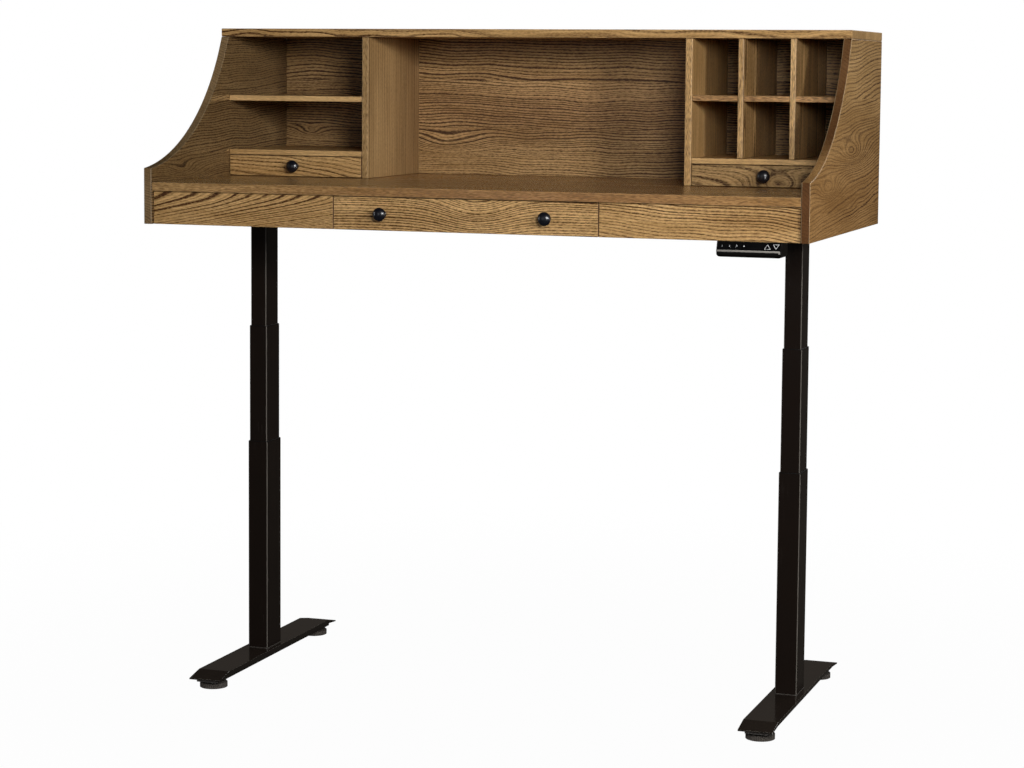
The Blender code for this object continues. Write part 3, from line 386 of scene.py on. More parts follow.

# Each board: how it lies, how far its first glue joint is from its middle, how pale its stain is (partly
# painted light on the small drawer fronts), how much its lacquer shines, and what sets its cut apart from the
# plain board
BOARDS = {
    "left_side_panel": (LIE_SIDE, 0.06, 0.56, 0.35, {
        "Stave Width": 0.150, "Spread": 0.04, "Pith Aside": 0.14, "Ring Spacing": 0.0054, "Figure": 0.03,
        "Taper": -0.04, "Rub": 0.6, "Contrast": 1.2, "Edge Fleck": 0.5, "End Tone": (0.91, 0.93, 1.04, 1.0),
        "Knot": (-0.20, -0.10), "Knot Size": (0.08, 0.02), "Knot Rise": 0.018}),
    "right_side_panel": (LIE_SIDE, 0.16, 1.32, 0.12, {
        "Stave Width": 0.240, "Pith Aside": 0.165, "Pith Depth": 0.06, "Figure": 0.022, "Taper": -0.07,
        "Ring Spacing": 0.0068, "Contrast": 0.8, "Line Width": 0.38, "Rub": 0.5, "Edge Fleck": 0.5,
        "End Tone": linear(134, 120, 118), "Patch Tone": linear(222, 209, 195),
        "Patch": (0, -0.16), "Patch Size": (FAR, 0.22), "Patch Rise": 1.0,
        "Knot": (0.063, -0.040), "Knot Size": (0.15, 0.030), "Knot Rise": 0.050,
        "Eye": (-0.19, -0.109), "Eye Size": (0.09, 0.022), "Eye Rise": 0.034}),
    "hutch_top": (LIE_FLAT, 0.02, 1.3, 0.15, {
        "Stave Width": 0.118, "Spread": 0.10, "Pith Aside": 0.135, "Ring Spacing": 0.0050, "Gloss": 0.42,
        "End Tone": WHITE}),
    "back_panel": (LIE_FRONT, 0.05, 1.08, 0.45, {
        "Stave Width": 0.115, "Spread": 0.10, "Pith Aside": 0.135, "Figure": 0.03, "Taper": 0.02,
        "Ring Spacing": 0.0056, "Contrast": 1.25,
        "Knot": (-0.30, -0.093), "Knot Size": (0.10, 0.035), "Knot Rise": 0.03,
        "Eye": (-0.675, -0.068), "Eye Size": (0.035, 0.014), "Eye Rise": 0.016,
        "Patch": (0.0, -0.005), "Patch Size": (0.7, 0.07), "Patch Rise": 0.5}),
    "desktop": (LIE_FLAT, 0.02, 1.35, 0.40, {
        "Stave Width": 0.120, "Spread": 0.10, "Pith Aside": 0.135, "Edge Fleck": 0.6, "Gloss": 0.12,
        "Edge Tone": linear(228, 226, 226), "Patch Tone": linear(232, 217, 207),
        "Patch": (0.20, 0), "Patch Size": (0.60, FAR), "Patch Rise": 1.0}),
    "left_apron": (LIE_FRONT, None, 1.3, 0.20, {
        "Pith Aside": -0.042, "Pith Depth": 0.03, "Ring Spacing": 0.0160, "Tighten": 20.0, "Taper": 0.15,
        "Figure": 0.012, "Line Width": 0.36}),
    "right_apron": (LIE_FRONT, None, 1.32, 0.20, {
        "Pith Aside": 0.11, "Taper": 0.07, "Ring Spacing": 0.0058, "Figure": 0.035, "Contrast": 1.1}),
    "rear_apron": (LIE_FRONT, None, 1.0, 0.30, {}),
    "wide_drawer_front": (LIE_FRONT, None, 1.32, 0.20, {
        **DRAWER_EDGES_AND_GAP_SHADE, "Pith Aside": 0.11, "Figure": 0.012, "Taper": 0.0, "Ring Spacing": 0.0054,
        "Contrast": 1.3, "Line Width": 0.46,
        "Knot": (0.03, 0.03), "Knot Size": (0.085, 0.08), "Knot Rise": 0.030}),
    # The two small drawer fronts are one oak: the left one's paler stain and the right one's darker stain
    # even out the light each gets, as painted light and shade
    "left_drawer_front": (LIE_FRONT, None, 1.3, 0.20, {
        **DRAWER_EDGES_AND_GAP_SHADE, "Pith Aside": 0.06, "Taper": 0.08, "Figure": 0.035, "Contrast": 0.95}),
    "right_drawer_front": (LIE_FRONT, None, 0.76, 0.20, {
        **DRAWER_EDGES_AND_GAP_SHADE, "Pith Aside": 0.03, "Taper": 0.03, "Figure": 0.03, "Line Width": 0.40,
        "Contrast": 1.15, "Knot": (0.03, -0.02), "Knot Size": (0.07, 0.03), "Knot Rise": 0.03}),
    "left_divider": (LIE_UPRIGHT, None, 0.92, 0.30, {
        **TALL_CUT, "Patch Tone": linear(222, 216, 212),
        "Patch": (0, 0.15), "Patch Size": (FAR, 0.12), "Patch Rise": 1.0}),
    "right_divider": (LIE_UPRIGHT, None, 1.35, 0.40, TALL_CUT),
    "left_shelf": (LIE_FLAT, 0.02, 1.25, 0.30, SHELF_CUT),
    "left_drawer_deck": (LIE_FLAT, 0.02, 1.25, 0.30, SHELF_CUT),
    "right_drawer_deck": (LIE_FLAT, 0.02, 1.25, 0.30, SHELF_CUT),
    "cubby_shelf": (LIE_FLAT, 0.02, 1.15, 0.30, {
        **SHELF_CUT, "Edge Fleck": 0.8, "Edge Tone": linear(230, 218, 214)}),
    "cubby_divider_1": (LIE_UPRIGHT, 0.01, 1.3, 0.45, UPRIGHT_CUT),
    "cubby_divider_2": (LIE_UPRIGHT, 0.03, 1.3, 0.45, UPRIGHT_CUT),
}


def stained(colour, stain):
    return (*(stain * part for part in colour[:3]), 1.0)


def make_board_finish(grain, node, seed, name, paler=1.0):
    """The oak of one board. Its grain starts from the middle of the board."""
    lie, joint, stain, shine, own_cut = BOARDS[node]
    cut = {**PLAIN_BOARD, **own_cut}
    if joint is None:
        joint = ONE_BOARD / 2
    for figure in FIGURES:
        cut[figure] = (cut[figure][0], cut[figure][1] + joint, 0)
        cut[f"{figure} Size"] = (*cut[f"{figure} Size"], FAR)
    cut.update({part: stained(colour, stain * paler) for part, colour in OAK_COLOURS.items()})
    material, tree = start_finish(name)
    low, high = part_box(node)
    shift = Vector((0, joint, 0)) - Euler(lie).to_matrix() @ ((low + high) / 2)
    where = add_node(tree, "TexCoord", {}).outputs
    place = add_node(tree, "Mapping", {"Vector": where["Object"], "Rotation": lie, "Location": shift})
    facing = add_node(tree, "Mapping", {"Vector": where["Normal"], "Rotation": lie}, vector_type="VECTOR")
    cut.update({"Place": place.outputs[0], "Facing": facing.outputs[0], "Seed": seed})
    end_finish(tree, add_group(tree, grain, cut), *BOARD_RELIEF, shine)
    return material


DRAWER_WOOD = {
    **PLAIN_BOARD, "Contrast": 0.5, "Gloss": 0.42, "Stave Width": 0.09, "Spread": 0.2, "Seed": 31.0,
    "Light": linear(214, 184, 138), "Deep": linear(190, 156, 108), "Pore": linear(120, 88, 54),
    "Rubbed": linear(222, 200, 162), "End Tone": linear(225, 215, 205)}
DRAWER_SHINE = 0.3
QUARTER_TURN = (0, 0, math.pi / 2)


def make_drawer_wood(grain):
    """Pale unstained oak of the drawer boxes and runners, with the grain along each wall."""
    material, tree = start_finish("drawer_wood")
    where = add_node(tree, "TexCoord", {}).outputs
    turned = add_node(tree, "Mapping", {"Vector": where["Object"], "Rotation": QUARTER_TURN}).outputs[0]
    sideways = sums(tree, "ABSOLUTE", add_node(tree, "SeparateXYZ", {0: where["Normal"]}).outputs[0])
    walls = add_node(tree, "Mix", {}, data_type="VECTOR")
    feed(tree, walls.inputs["Factor"], fade(tree, sideways, 0.6, 0.8))
    feed(tree, walls.inputs[4], where["Object"])
    feed(tree, walls.inputs[5], turned)
    cut = {**DRAWER_WOOD, "Place": walls.outputs[1], "Facing": where["Normal"]}
    for figure in FIGURES:
        cut[figure] = (0, 0, 0)
        cut[f"{figure} Size"] = (FAR, FAR, FAR)
    end_finish(tree, add_group(tree, grain, cut), *DRAWER_RELIEF, DRAWER_SHINE)
    return material


# Steel, plastic and rubber

CLOUDS = (11.0, 11.0, 11.0)
PITS = (900.0, 900.0, 900.0)
SCUFFS = (70.0, 70.0, 9.0)
CLOUD_SHADE = linear(205, 205, 205)


def make_skin():
    """The skin of coated, moulded and bare parts: clouded tone, pitting, scuffs, dust, and rounded corners
    paled partly by wear and partly as a painted highlight.
    """
    tree, entry, leave = new_group(
        "part_skin", ("Place", "Facing"), ("Dust Share", "Gloss", "Pitting", "Edge Wear And Highlight Share"),
        ("Tone", "Dust", "Worn"))
    cloud = grain_noise(tree, entry["Place"], CLOUDS, 3.0)
    pits = grain_noise(tree, entry["Place"], PITS, 2.0)
    scuffs = fade(tree, grain_noise(tree, entry["Place"], SCUFFS, 3.0), 0.60, 0.78)
    sideways, forward, upward = add_node(tree, "SeparateXYZ", {0: entry["Facing"]}).outputs
    straight = sums(tree, "MAXIMUM", sums(tree, "ABSOLUTE", sideways), sums(tree, "ABSOLUTE", forward))
    straight = sums(tree, "MAXIMUM", straight, sums(tree, "ABSOLUTE", upward))
    # Rounded corners are paled, partly as wear and partly as a painted highlight
    rim = fade(tree, straight, 0.82, 0.94, 1.0, 0.0)
    settled = sums(tree, "MULTIPLY", fade(tree, upward, 0.35, 0.95), fade(tree, cloud, 0.2, 0.8, 0.6, 1.0))
    settled = sums(tree, "MAXIMUM", settled, sums(tree, "MULTIPLY", scuffs, 0.25))
    colour = toned(tree, cloud, entry["Tone"], CLOUD_SHADE)
    colour = blend_colours(tree, sums(tree, "MULTIPLY", settled, entry["Dust Share"]), colour, entry["Dust"])
    worn_and_lit_rim = sums(tree, "MULTIPLY", rim, fade(tree, cloud, 0.25, 0.60, 0.75, 1.0))
    colour = blend_colours(tree, sums(tree, "MULTIPLY", worn_and_lit_rim, entry["Edge Wear And Highlight Share"]), colour, entry["Worn"])
    feed(tree, leave["Color"], colour)
    rough = sums(tree, "ADD", entry["Gloss"], fade(tree, cloud, 0.3, 0.7, -0.05, 0.05))
    feed(tree, leave["Roughness"], add_share(tree, rough, scuffs, 0.10))
    feed(tree, leave["Height"], sums(tree, "MULTIPLY", pits, entry["Pitting"]))
    return tree


# Each finish: colour, dust colour, share of dust, gloss, pitting, metallic, specular level, share of paled
# edges (wear and painted highlight)
SKINS = {
    "black_steel": (linear(29, 22, 18), linear(62, 54, 46), 0.30, 0.20, 0.6, 0.0, 0.22, 0.75),
    "foot_steel": (linear(25, 20, 17), linear(74, 62, 52), 0.25, 0.10, 0.2, 0.0, 0.90, 0.75),
    "dark_bronze": (linear(13, 15, 24), linear(40, 38, 42), 0.05, 0.26, 0.1, 0.0, 0.80, 0.0),
    "bright_steel": (linear(188, 188, 190), linear(150, 148, 144), 0.15, 0.28, 0.4, 1.0, 0.50, 0.0),
    "black_plastic": (linear(11, 9, 8), linear(56, 53, 50), 0.10, 0.36, 0.8, 0.0, 0.20, 0.0),
    "face_plastic": (linear(12, 11, 12), linear(48, 47, 46), 0.06, 0.20, 0.1, 0.0, 0.30, 0.0),
    "pad_rubber": (linear(84, 78, 72), linear(96, 90, 84), 0.25, 0.60, 1.0, 0.0, 0.30, 0.0),
    # Pale grey: partly the caps' plastic, partly painted light on them where the lip shades them
    "pale_cap_and_painted_light": (linear(164, 156, 148), linear(150, 144, 138), 0.20, 0.40, 0.6, 0.0, 0.30, 0.0),
    "weld_bead": (linear(72, 67, 62), linear(84, 79, 74), 0.20, 0.30, 0.5, 0.0, 0.40, 0.0),
    "key_mark": (linear(250, 250, 248), linear(180, 178, 174), 0.05, 0.45, 0.1, 0.0, 0.40, 0.0),
    # Pale so that the strip also stands as a painted highlight along the lip of the handset
    "pale_trim_and_highlight": (linear(172, 166, 158), linear(150, 146, 140), 0.15, 0.36, 0.3, 0.2, 0.50, 0.0),
}
# Pale colour of rounded corners: partly wear, partly a painted highlight
EDGE_WEAR_AND_HIGHLIGHT = linear(122, 116, 108)


def make_skin_finish(skin, name):
    tone, dust, dust_share, gloss, pitting, metallic, specular, wear_and_highlight = SKINS[name]
    material, tree = start_finish(name)
    where = add_node(tree, "TexCoord", {}).outputs
    coat = add_group(tree, skin, {
        "Place": where["Object"], "Facing": where["Normal"], "Tone": tone, "Dust": dust,
        "Dust Share": dust_share, "Gloss": gloss, "Pitting": pitting, "Worn": EDGE_WEAR_AND_HIGHLIGHT, "Edge Wear And Highlight Share": wear_and_highlight})
    end_finish(tree, coat, *SKIN_RELIEF, specular, metallic)
    return material


FEET = ("left_foot", "right_foot")
FILLET_SEED = 40.0
FILLET_PALER = 1.6


def dress(node, material):
    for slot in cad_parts[node].material_slots:
        slot.material = material


def dress_frame():
    """Gives each CAD node its finish and returns the finishes by name."""
    grain = make_oak_grain()
    skin = make_skin()
    finishes = {name: make_skin_finish(skin, name) for name in SKINS}
    finishes["drawer_wood"] = make_drawer_wood(grain)
    for name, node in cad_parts.items():
        if name not in BOARDS:
            slot = node.material_slots[0].material.name.split(".")[0]
            dress(name, finishes["foot_steel" if name in FEET else slot])
    for seed, node in enumerate(BOARDS, 1):
        finishes[node] = make_board_finish(grain, node, float(seed), f"oak_{node}")
        dress(node, finishes[node])
    finishes["shelf_fillet"] = make_board_finish(
        grain, "left_side_panel", FILLET_SEED, "oak_shelf_fillet", FILLET_PALER)
    return finishes


# Small pieces

MERGE_DISTANCE = 0.000001
SHARP_ANGLE = math.radians(40)


def finish_piece(name, shape, body, material):
    """Makes a closed mesh a piece that moves with a body of the desk."""
    bmesh.ops.remove_doubles(shape, verts=shape.verts[:], dist=MERGE_DISTANCE)
    bmesh.ops.recalc_face_normals(shape, faces=shape.faces[:])
    mesh = bpy.data.meshes.new(name)
    shape.to_mesh(mesh)
    shape.free()
    mesh.shade_smooth()
    mesh.set_sharp_from_angle(angle=SHARP_ANGLE)
    return place_piece(name, mesh, body, material)


def place_piece(name, mesh, body, material):
    mesh.materials.clear()
    mesh.materials.append(material)
    piece = bpy.data.objects.new(name, mesh)
    bpy.context.scene.collection.objects.link(piece)
    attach(piece, body)
    return piece


def add_outline(shape, points):
    """One flat face through a ring of points."""
    face = shape.faces.new([shape.verts.new(point) for point in points])
    face.normal_update()
    return face


def thicken(shape, faces, shift):
    """Extrudes faces along a shift and keeps the first side, so that the shape is closed."""
    grown = bmesh.ops.extrude_face_region(shape, geom=faces, use_keep_orig=True)["geom"]
    corners = [part for part in grown if isinstance(part, bmesh.types.BMVert)]
    bmesh.ops.translate(shape, vec=shift, verts=corners)
    return [part for part in grown if isinstance(part, bmesh.types.BMFace)]


def cut_out(shape, face, width):
    """Leaves only a rim of a flat face."""
    bmesh.ops.inset_region(shape, faces=[face], thickness=width, use_boundary=True, use_even_offset=True)
    bmesh.ops.delete(shape, geom=[face], context="FACES_ONLY")


def spin_profile(shape, profile, steps):
    """A turned shape round Z from pairs of radius and height, closed at both ends on the axis."""
    ring = [shape.verts.new((radius, 0, height)) for radius, height in profile]
    chain = [shape.edges.new(pair) for pair in zip(ring, ring[1:])]
    bmesh.ops.spin(
        shape, geom=ring + chain, cent=(0, 0, 0), axis=(0, 0, 1), angle=2 * math.pi, steps=steps,
        use_merge=True)


KNOB_STEPS = 48
KNOB_PROFILE = (
    (0, 26.0), (3.4, 25.85), (6.5, 25.3), (9.4, 24.3), (11.9, 22.8), (13.8, 20.9), (14.8, 19.0), (15.0, 17.7),
    (14.8, 16.7), (13.9, 15.6), (12.4, 14.4), (10.4, 12.8), (8.8, 10.9), (7.7, 8.8), (7.0, 6.8), (7.0, 5.4),
    (7.5, 4.2), (8.6, 3.4), (9.5, 2.9), (10.0, 2.2), (10.0, 0.5), (9.5, 0.0), (2.0, 0.0), (2.0, -9.6),
    (1.6, -10.0), (0, -10.0))
MILLIMETRE = 0.001
KNOB_BODIES = {
    "wide_drawer_left_knob": "wide_drawer", "wide_drawer_right_knob": "wide_drawer",
    "left_drawer_knob": "left_drawer", "right_drawer_knob": "right_drawer"}
KNOB_STUD = 0.010
FACE_FORWARD = Matrix.Rotation(math.pi / 2, 3, "X")


def make_knobs(finishes):
    for node, body in KNOB_BODIES.items():
        low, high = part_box(node)
        foot = Vector(((low.x + high.x) / 2, high.y - KNOB_STUD, (low.z + high.z) / 2))
        shape = bmesh.new()
        spin_profile(shape, [(MILLIMETRE * r, MILLIMETRE * h) for r, h in KNOB_PROFILE], KNOB_STEPS)
        bmesh.ops.rotate(shape, cent=(0, 0, 0), matrix=FACE_FORWARD, verts=shape.verts[:])
        bmesh.ops.translate(shape, vec=foot, verts=shape.verts[:])
        knob = finish_piece(f"turned_{node}", shape, body, finishes["dark_bronze"])
        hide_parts(node)


FACE_SLOPE = 0.006
FACE_HEIGHT = 0.0175
MARK_RISE = 0.00015
MARK_SINK = 0.00005
DIGIT_SIZE = 0.0050
DIGIT_BOLDNESS = 0.0002
TRIANGLE_WIDTH = 0.0134
TRIANGLE_HEIGHT = 0.0109
TRIANGLE_STROKE = 0.0007


def face_matrix(x):
    """From a mark's own plane to the sloping key face: X along the handset, Y up the face, Z out of it."""
    low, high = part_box("handset_case")
    lean = math.atan2(FACE_SLOPE, FACE_HEIGHT)
    up = Vector((0, math.sin(lean), math.cos(lean)))
    out = Vector((0, -math.cos(lean), math.sin(lean)))
    middle = Vector((x, low.y + FACE_SLOPE / 2, high.z - FACE_HEIGHT / 2))
    turn = Matrix((Vector((1, 0, 0)), up, out)).transposed()
    return Matrix.Translation(middle) @ turn.to_4x4()


def key_middle(key):
    low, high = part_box(key)
    return (low.x + high.x) / 2


def make_key_marks(finishes):
    for number in range(1, 5):
        key = f"memory_key_{number}"
        letter = bpy.data.curves.new(f"digit_{number}", "FONT")
        letter.body = str(number)
        letter.size = DIGIT_SIZE
        letter.align_x = "CENTER"
        letter.align_y = "CENTER"
        letter.extrude = (MARK_RISE + MARK_SINK) / 2
        letter.offset = DIGIT_BOLDNESS
        drawn = bpy.data.objects.new(f"digit_{number}", letter)
        mesh = bpy.data.meshes.new_from_object(drawn)
        bpy.data.objects.remove(drawn)
        lift = Matrix.Translation((0, 0, (MARK_RISE - MARK_SINK) / 2))
        mesh.transform(face_matrix(key_middle(key)) @ lift)
        place_piece(f"{key}_mark", mesh, f"{key}_body", finishes["key_mark"])
    for key, way in (("up_key", 1), ("down_key", -1)):
        shape = bmesh.new()
        base = -way * TRIANGLE_HEIGHT / 2
        flat = add_outline(shape, [
            (-TRIANGLE_WIDTH / 2, base, -MARK_SINK), (TRIANGLE_WIDTH / 2, base, -MARK_SINK),
            (0, -base, -MARK_SINK)])
        cut_out(shape, flat, TRIANGLE_STROKE)
        thicken(shape, shape.faces[:], (0, 0, MARK_SINK + MARK_RISE))
        bmesh.ops.transform(shape, matrix=face_matrix(key_middle(key)), verts=shape.verts[:])
        finish_piece(f"{key}_mark", shape, f"{key}_body", finishes["key_mark"])


TRIM_TOP_DROP = 0.0172
TRIM_HEIGHT = 0.0038
TRIM_END = 0.0020
TRIM_HOOK = 0.0062
TRIM_PROUD = 0.0004
TRIM_SUNK = 0.0002
TRIM_BEND = 0.0020
TRIM_BEVEL = 0.0002
BEND_STEPS = 5


def bend(middle, radius, start, end):
    """Points of an arc in the XZ plane as pairs of X and Z."""
    angles = [start + (end - start) * step / BEND_STEPS for step in range(BEND_STEPS + 1)]
    return [(middle[0] + radius * math.cos(angle), middle[1] + radius * math.sin(angle)) for angle in angles]


def make_handset_trim(finishes):
    """The strip under the keys, with its right end turned down. Its pale colour is partly the trim and partly
    a painted highlight along the lip of the case.
    """
    low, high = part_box("handset_case")
    top = high.z - TRIM_TOP_DROP
    bottom = top - TRIM_HEIGHT
    left = low.x + TRIM_END
    right = high.x - TRIM_END
    tip = top - TRIM_HOOK
    ring = [(left, bottom), (left, top)]
    ring += bend((right - TRIM_BEND, top - TRIM_BEND), TRIM_BEND, math.pi / 2, 0)
    ring += [(right, tip), (right - TRIM_HEIGHT, tip), (right - TRIM_HEIGHT, bottom)]
    shape = bmesh.new()
    strip = add_outline(shape, [(x, low.y + TRIM_SUNK, z) for x, z in ring])
    front = thicken(shape, [strip], (0, -TRIM_SUNK - TRIM_PROUD, 0))
    rim = [edge for face in front for edge in face.edges]
    bmesh.ops.bevel(shape, geom=rim, offset=TRIM_BEVEL, segments=2, profile=0.5, affect="EDGES", material=-1)
    finish_piece("handset_trim_and_highlight", shape, "desk", finishes["pale_trim_and_highlight"])


COLLAR_RISE = 0.0016
COLLAR_PLAY = 0.0003
COLLAR_WIDTH = 0.0018
COLLAR_ROUND = 0.0027
BEAD_RISE = 0.0014
BEAD_PROUD = 0.0009
BEAD_WIDTH = 0.0014
BEAD_ROUND = 0.0039
RING_BEVEL = 0.0004


def add_ring(tube, grow, height, corner, width, rise):
    """A thin ring that follows a tube's outline, from a height upwards."""
    low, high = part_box(tube)
    shape = bmesh.new()
    corners = (
        (low.x - grow, low.y - grow), (high.x + grow, low.y - grow),
        (high.x + grow, high.y + grow), (low.x - grow, high.y + grow))
    flat = add_outline(shape, [(x, y, height) for x, y in corners])
    bmesh.ops.bevel(
        shape, geom=list(flat.verts), offset=corner, segments=5, profile=0.5, affect="VERTICES", material=-1)
    flat = shape.faces[:][0]
    cut_out(shape, flat, width)
    top = thicken(shape, shape.faces[:], (0, 0, rise))
    rim = [edge for face in top for edge in face.edges if len({*edge.link_faces} - {*top}) == 1]
    bmesh.ops.bevel(shape, geom=rim, offset=RING_BEVEL, segments=2, profile=0.5, affect="EDGES", material=-1)
    return shape


def make_glide_collars(finishes):
    """The thin collar on the mouth of each tube that another tube slides out of."""
    for side in ("left", "right"):
        for tube, body in (("lower", "base"), ("middle", f"{side}_stage")):
            node = f"{side}_{tube}_tube"
            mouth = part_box(node)[1].z
            shape = add_ring(node, -COLLAR_PLAY, mouth, COLLAR_ROUND, COLLAR_WIDTH, COLLAR_RISE)
            finish_piece(f"{side}_{tube}_collar", shape, body, finishes["black_plastic"])


def make_weld_beads(finishes):
    """The thin bead of weld between each lower tube and its foot."""
    for side in ("left", "right"):
        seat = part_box(f"{side}_foot")[1].z
        shape = add_ring(f"{side}_lower_tube", BEAD_PROUD, seat, BEAD_ROUND, BEAD_WIDTH, BEAD_RISE)
        finish_piece(f"{side}_weld_bead", shape, "base", finishes["weld_bead"])


CHANNEL_INSET = 0.012
CHANNEL_END_INSET = 0.016
CAP_SETBACK = 0.0004
CAP_HEIGHT = 0.0082
CAP_THICKNESS = 0.0016
CAP_LIP = 0.0018
CAP_DISH = 0.0005


def make_channel_caps(finishes):
    """The dished caps that close both ends of the channel under each foot. Their pale grey is partly the
    plastic and partly painted light, for the lit band they show under the shaded lip.
    """
    for node in FEET:
        low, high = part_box(node)
        left = low.x + CHANNEL_INSET + CAP_SETBACK
        right = high.x - CHANNEL_INSET - CAP_SETBACK
        bottom = low.z + CAP_SETBACK
        top = bottom + CAP_HEIGHT
        shape = bmesh.new()
        for seat, out in ((low.y + CHANNEL_END_INSET, -1), (high.y - CHANNEL_END_INSET, 1)):
            flat = add_outline(
                shape, [(left, seat, bottom), (right, seat, bottom), (right, seat, top), (left, seat, top)])
            face = thicken(shape, [flat], (0, out * CAP_THICKNESS, 0))
            bmesh.ops.inset_region(shape, faces=face, thickness=CAP_LIP, use_even_offset=True)
            bmesh.ops.translate(shape, vec=(0, -out * CAP_DISH, 0), verts=face[0].verts[:])
        finish_piece(f"{node}_caps", shape, "base", finishes["pale_cap_and_painted_light"])


SWOOP_RADIUS = 0.51
PANEL_FRONT_HEIGHT = 0.1258
FILLET_PROUD = 0.0003
FILLET_END = 0.0040
DECK_FILLET = 0.014


def swoop_y(z):
    """How far back the hollow front edge of a side panel is at a height."""
    low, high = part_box("left_side_panel")
    foot = Vector((low.y, low.z + PANEL_FRONT_HEIGHT))
    head = Vector((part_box("hutch_top")[0].y, high.z))
    chord = head - foot
    reach = math.sqrt(SWOOP_RADIUS ** 2 - (chord.length / 2) ** 2)
    middle = (foot + head) / 2 + reach * Vector((-chord.y, chord.x)).normalized()
    return middle.x + math.sqrt(SWOOP_RADIUS ** 2 - (z - middle.y) ** 2)


def make_shelf_fillets(finishes):
    """Strips let into the left panel that carry on the lines of the shelf and the drawer deck."""
    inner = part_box("left_side_panel")[1].x
    for node, reach in (("left_shelf", FAR), ("left_drawer_deck", DECK_FILLET)):
        low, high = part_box(node)
        top_end = max(swoop_y(high.z) + FILLET_END, low.y - reach)
        bottom_end = max(swoop_y(low.z) + FILLET_END, low.y - reach)
        ring = [(low.y, low.z), (low.y, high.z), (top_end, high.z), (bottom_end, low.z)]
        shape = bmesh.new()
        face = add_outline(shape, [(inner, y, z) for y, z in ring])
        thicken(shape, [face], (FILLET_PROUD, 0, 0))
        finish_piece(f"{node}_fillet", shape, "desk", finishes["shelf_fillet"])


GLUE_OVERLAP = 0.0001
GLUE_SETBACK = 0.0004
GLUE_LINES = {"back_panel": "hutch_top", "left_apron": "desktop", "right_apron": "desktop"}


def make_glue_lines(finishes):
    """The thin lines of glue between upright boards and the boards that lie on them."""
    for node, above in GLUE_LINES.items():
        low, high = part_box(node)
        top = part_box(above)[0].z
        left = low.x + GLUE_SETBACK
        right = high.x - GLUE_SETBACK
        front = low.y + GLUE_SETBACK
        back = high.y - GLUE_SETBACK
        shape = bmesh.new()
        corners = ((left, front), (right, front), (right, back), (left, back))
        face = add_outline(shape, [(x, y, high.z - GLUE_OVERLAP) for x, y in corners])
        thicken(shape, [face], (0, 0, top - high.z + 2 * GLUE_OVERLAP))
        finish_piece(f"{node}_glue", shape, "desk", finishes[node])


SCREW_STEPS = 20
SCREW_PROFILE = ((0, 2.0), (1.9, 1.9), (3.4, 1.5), (4.2, 0.8), (4.4, 0.0), (0, 0.0))
SOCKET_RADIUS = 0.0016
SOCKET_DEPTH = 0.0012
SOCKET_DROP = 0.0001
SCREW_TIP = 0.00001
BRACKET_SCREW_ROWS = (-0.255, -0.150, 0.170, 0.285)
BRACKET_SCREW_ASIDE = 0.026
BRACKET_PLATE = 0.003
FACE_DOWN = Matrix.Rotation(math.pi, 3, "X")


def add_screw(shape, place, turn):
    """A domed screw head with a hexagon socket, its foot at a place and its head turned outwards."""
    head = bmesh.new()
    spin_profile(head, [(MILLIMETRE * r, MILLIMETRE * h) for r, h in SCREW_PROFILE], SCREW_STEPS)
    bmesh.ops.remove_doubles(head, verts=head.verts[:], dist=MERGE_DISTANCE)
    top = max(vert.co.z for vert in head.verts)
    tip = [vert for vert in head.verts if vert.co.z > top - SCREW_TIP]
    bmesh.ops.delete(head, geom=tip, context="VERTS")
    mouth = [edge for edge in head.edges if edge.is_boundary]
    socket = bmesh.ops.create_circle(head, cap_ends=True, radius=SOCKET_RADIUS, segments=6)["verts"]
    bmesh.ops.translate(head, vec=(0, 0, top - SOCKET_DROP), verts=socket)
    floor = [face for face in head.faces if len(face.verts) == 6]
    bmesh.ops.bridge_loops(head, edges=mouth + list(floor[0].edges))
    sunk = bmesh.ops.extrude_face_region(head, geom=floor)["geom"]
    corners = [part for part in sunk if isinstance(part, bmesh.types.BMVert)]
    bmesh.ops.translate(head, vec=(0, 0, -SOCKET_DEPTH), verts=corners)
    bmesh.ops.rotate(head, cent=(0, 0, 0), matrix=turn, verts=head.verts[:])
    bmesh.ops.translate(head, vec=place, verts=head.verts[:])
    mesh = bpy.data.meshes.new("screw")
    head.to_mesh(mesh)
    head.free()
    shape.from_mesh(mesh)
    bpy.data.meshes.remove(mesh)


def make_bracket_screws(finishes):
    for side in ("left", "right"):
        low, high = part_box(f"{side}_top_bracket")
        middle = (low.x + high.x) / 2
        shape = bmesh.new()
        for y in BRACKET_SCREW_ROWS:
            for aside in (-BRACKET_SCREW_ASIDE, BRACKET_SCREW_ASIDE):
                add_screw(shape, (middle + aside, y, high.z - BRACKET_PLATE), FACE_DOWN)
        finish_piece(f"{side}_bracket_screws", shape, "desk", finishes["bright_steel"])


# Stage

ROOM_TINT = (0.84, 0.93, 1.0, 1.0)
AMBIENT = 0.11
MIRRORED_TINT = (1.0, 0.88, 0.76, 1.0)
ROOM_GLOSS = 0.018
BACKDROP_GLOSS = 0.065
FLOOR_GLOSS = (0.045, 0.040, 0.034, 1.0)
FLOOR_MATT = (0.15, 0.15, 0.15, 1.0)
FLOOR_REACH = 40.0
FLOOR_FADE = (0.6, 2.6)
NEAR_WHITE = 0.98
BAND_FOOT = (0.07, 0.17)
BAND_HEAD = (0.34, 0.53)


def ray_kinds(tree):
    """Whether a ray comes from the camera, and whether it was mirrored or bent by gloss or glass."""
    path = add_node(tree, "LightPath", {}).outputs
    return path["Is Camera Ray"], sums(tree, "MAXIMUM", path["Is Glossy Ray"], path["Is Transmission Ray"])


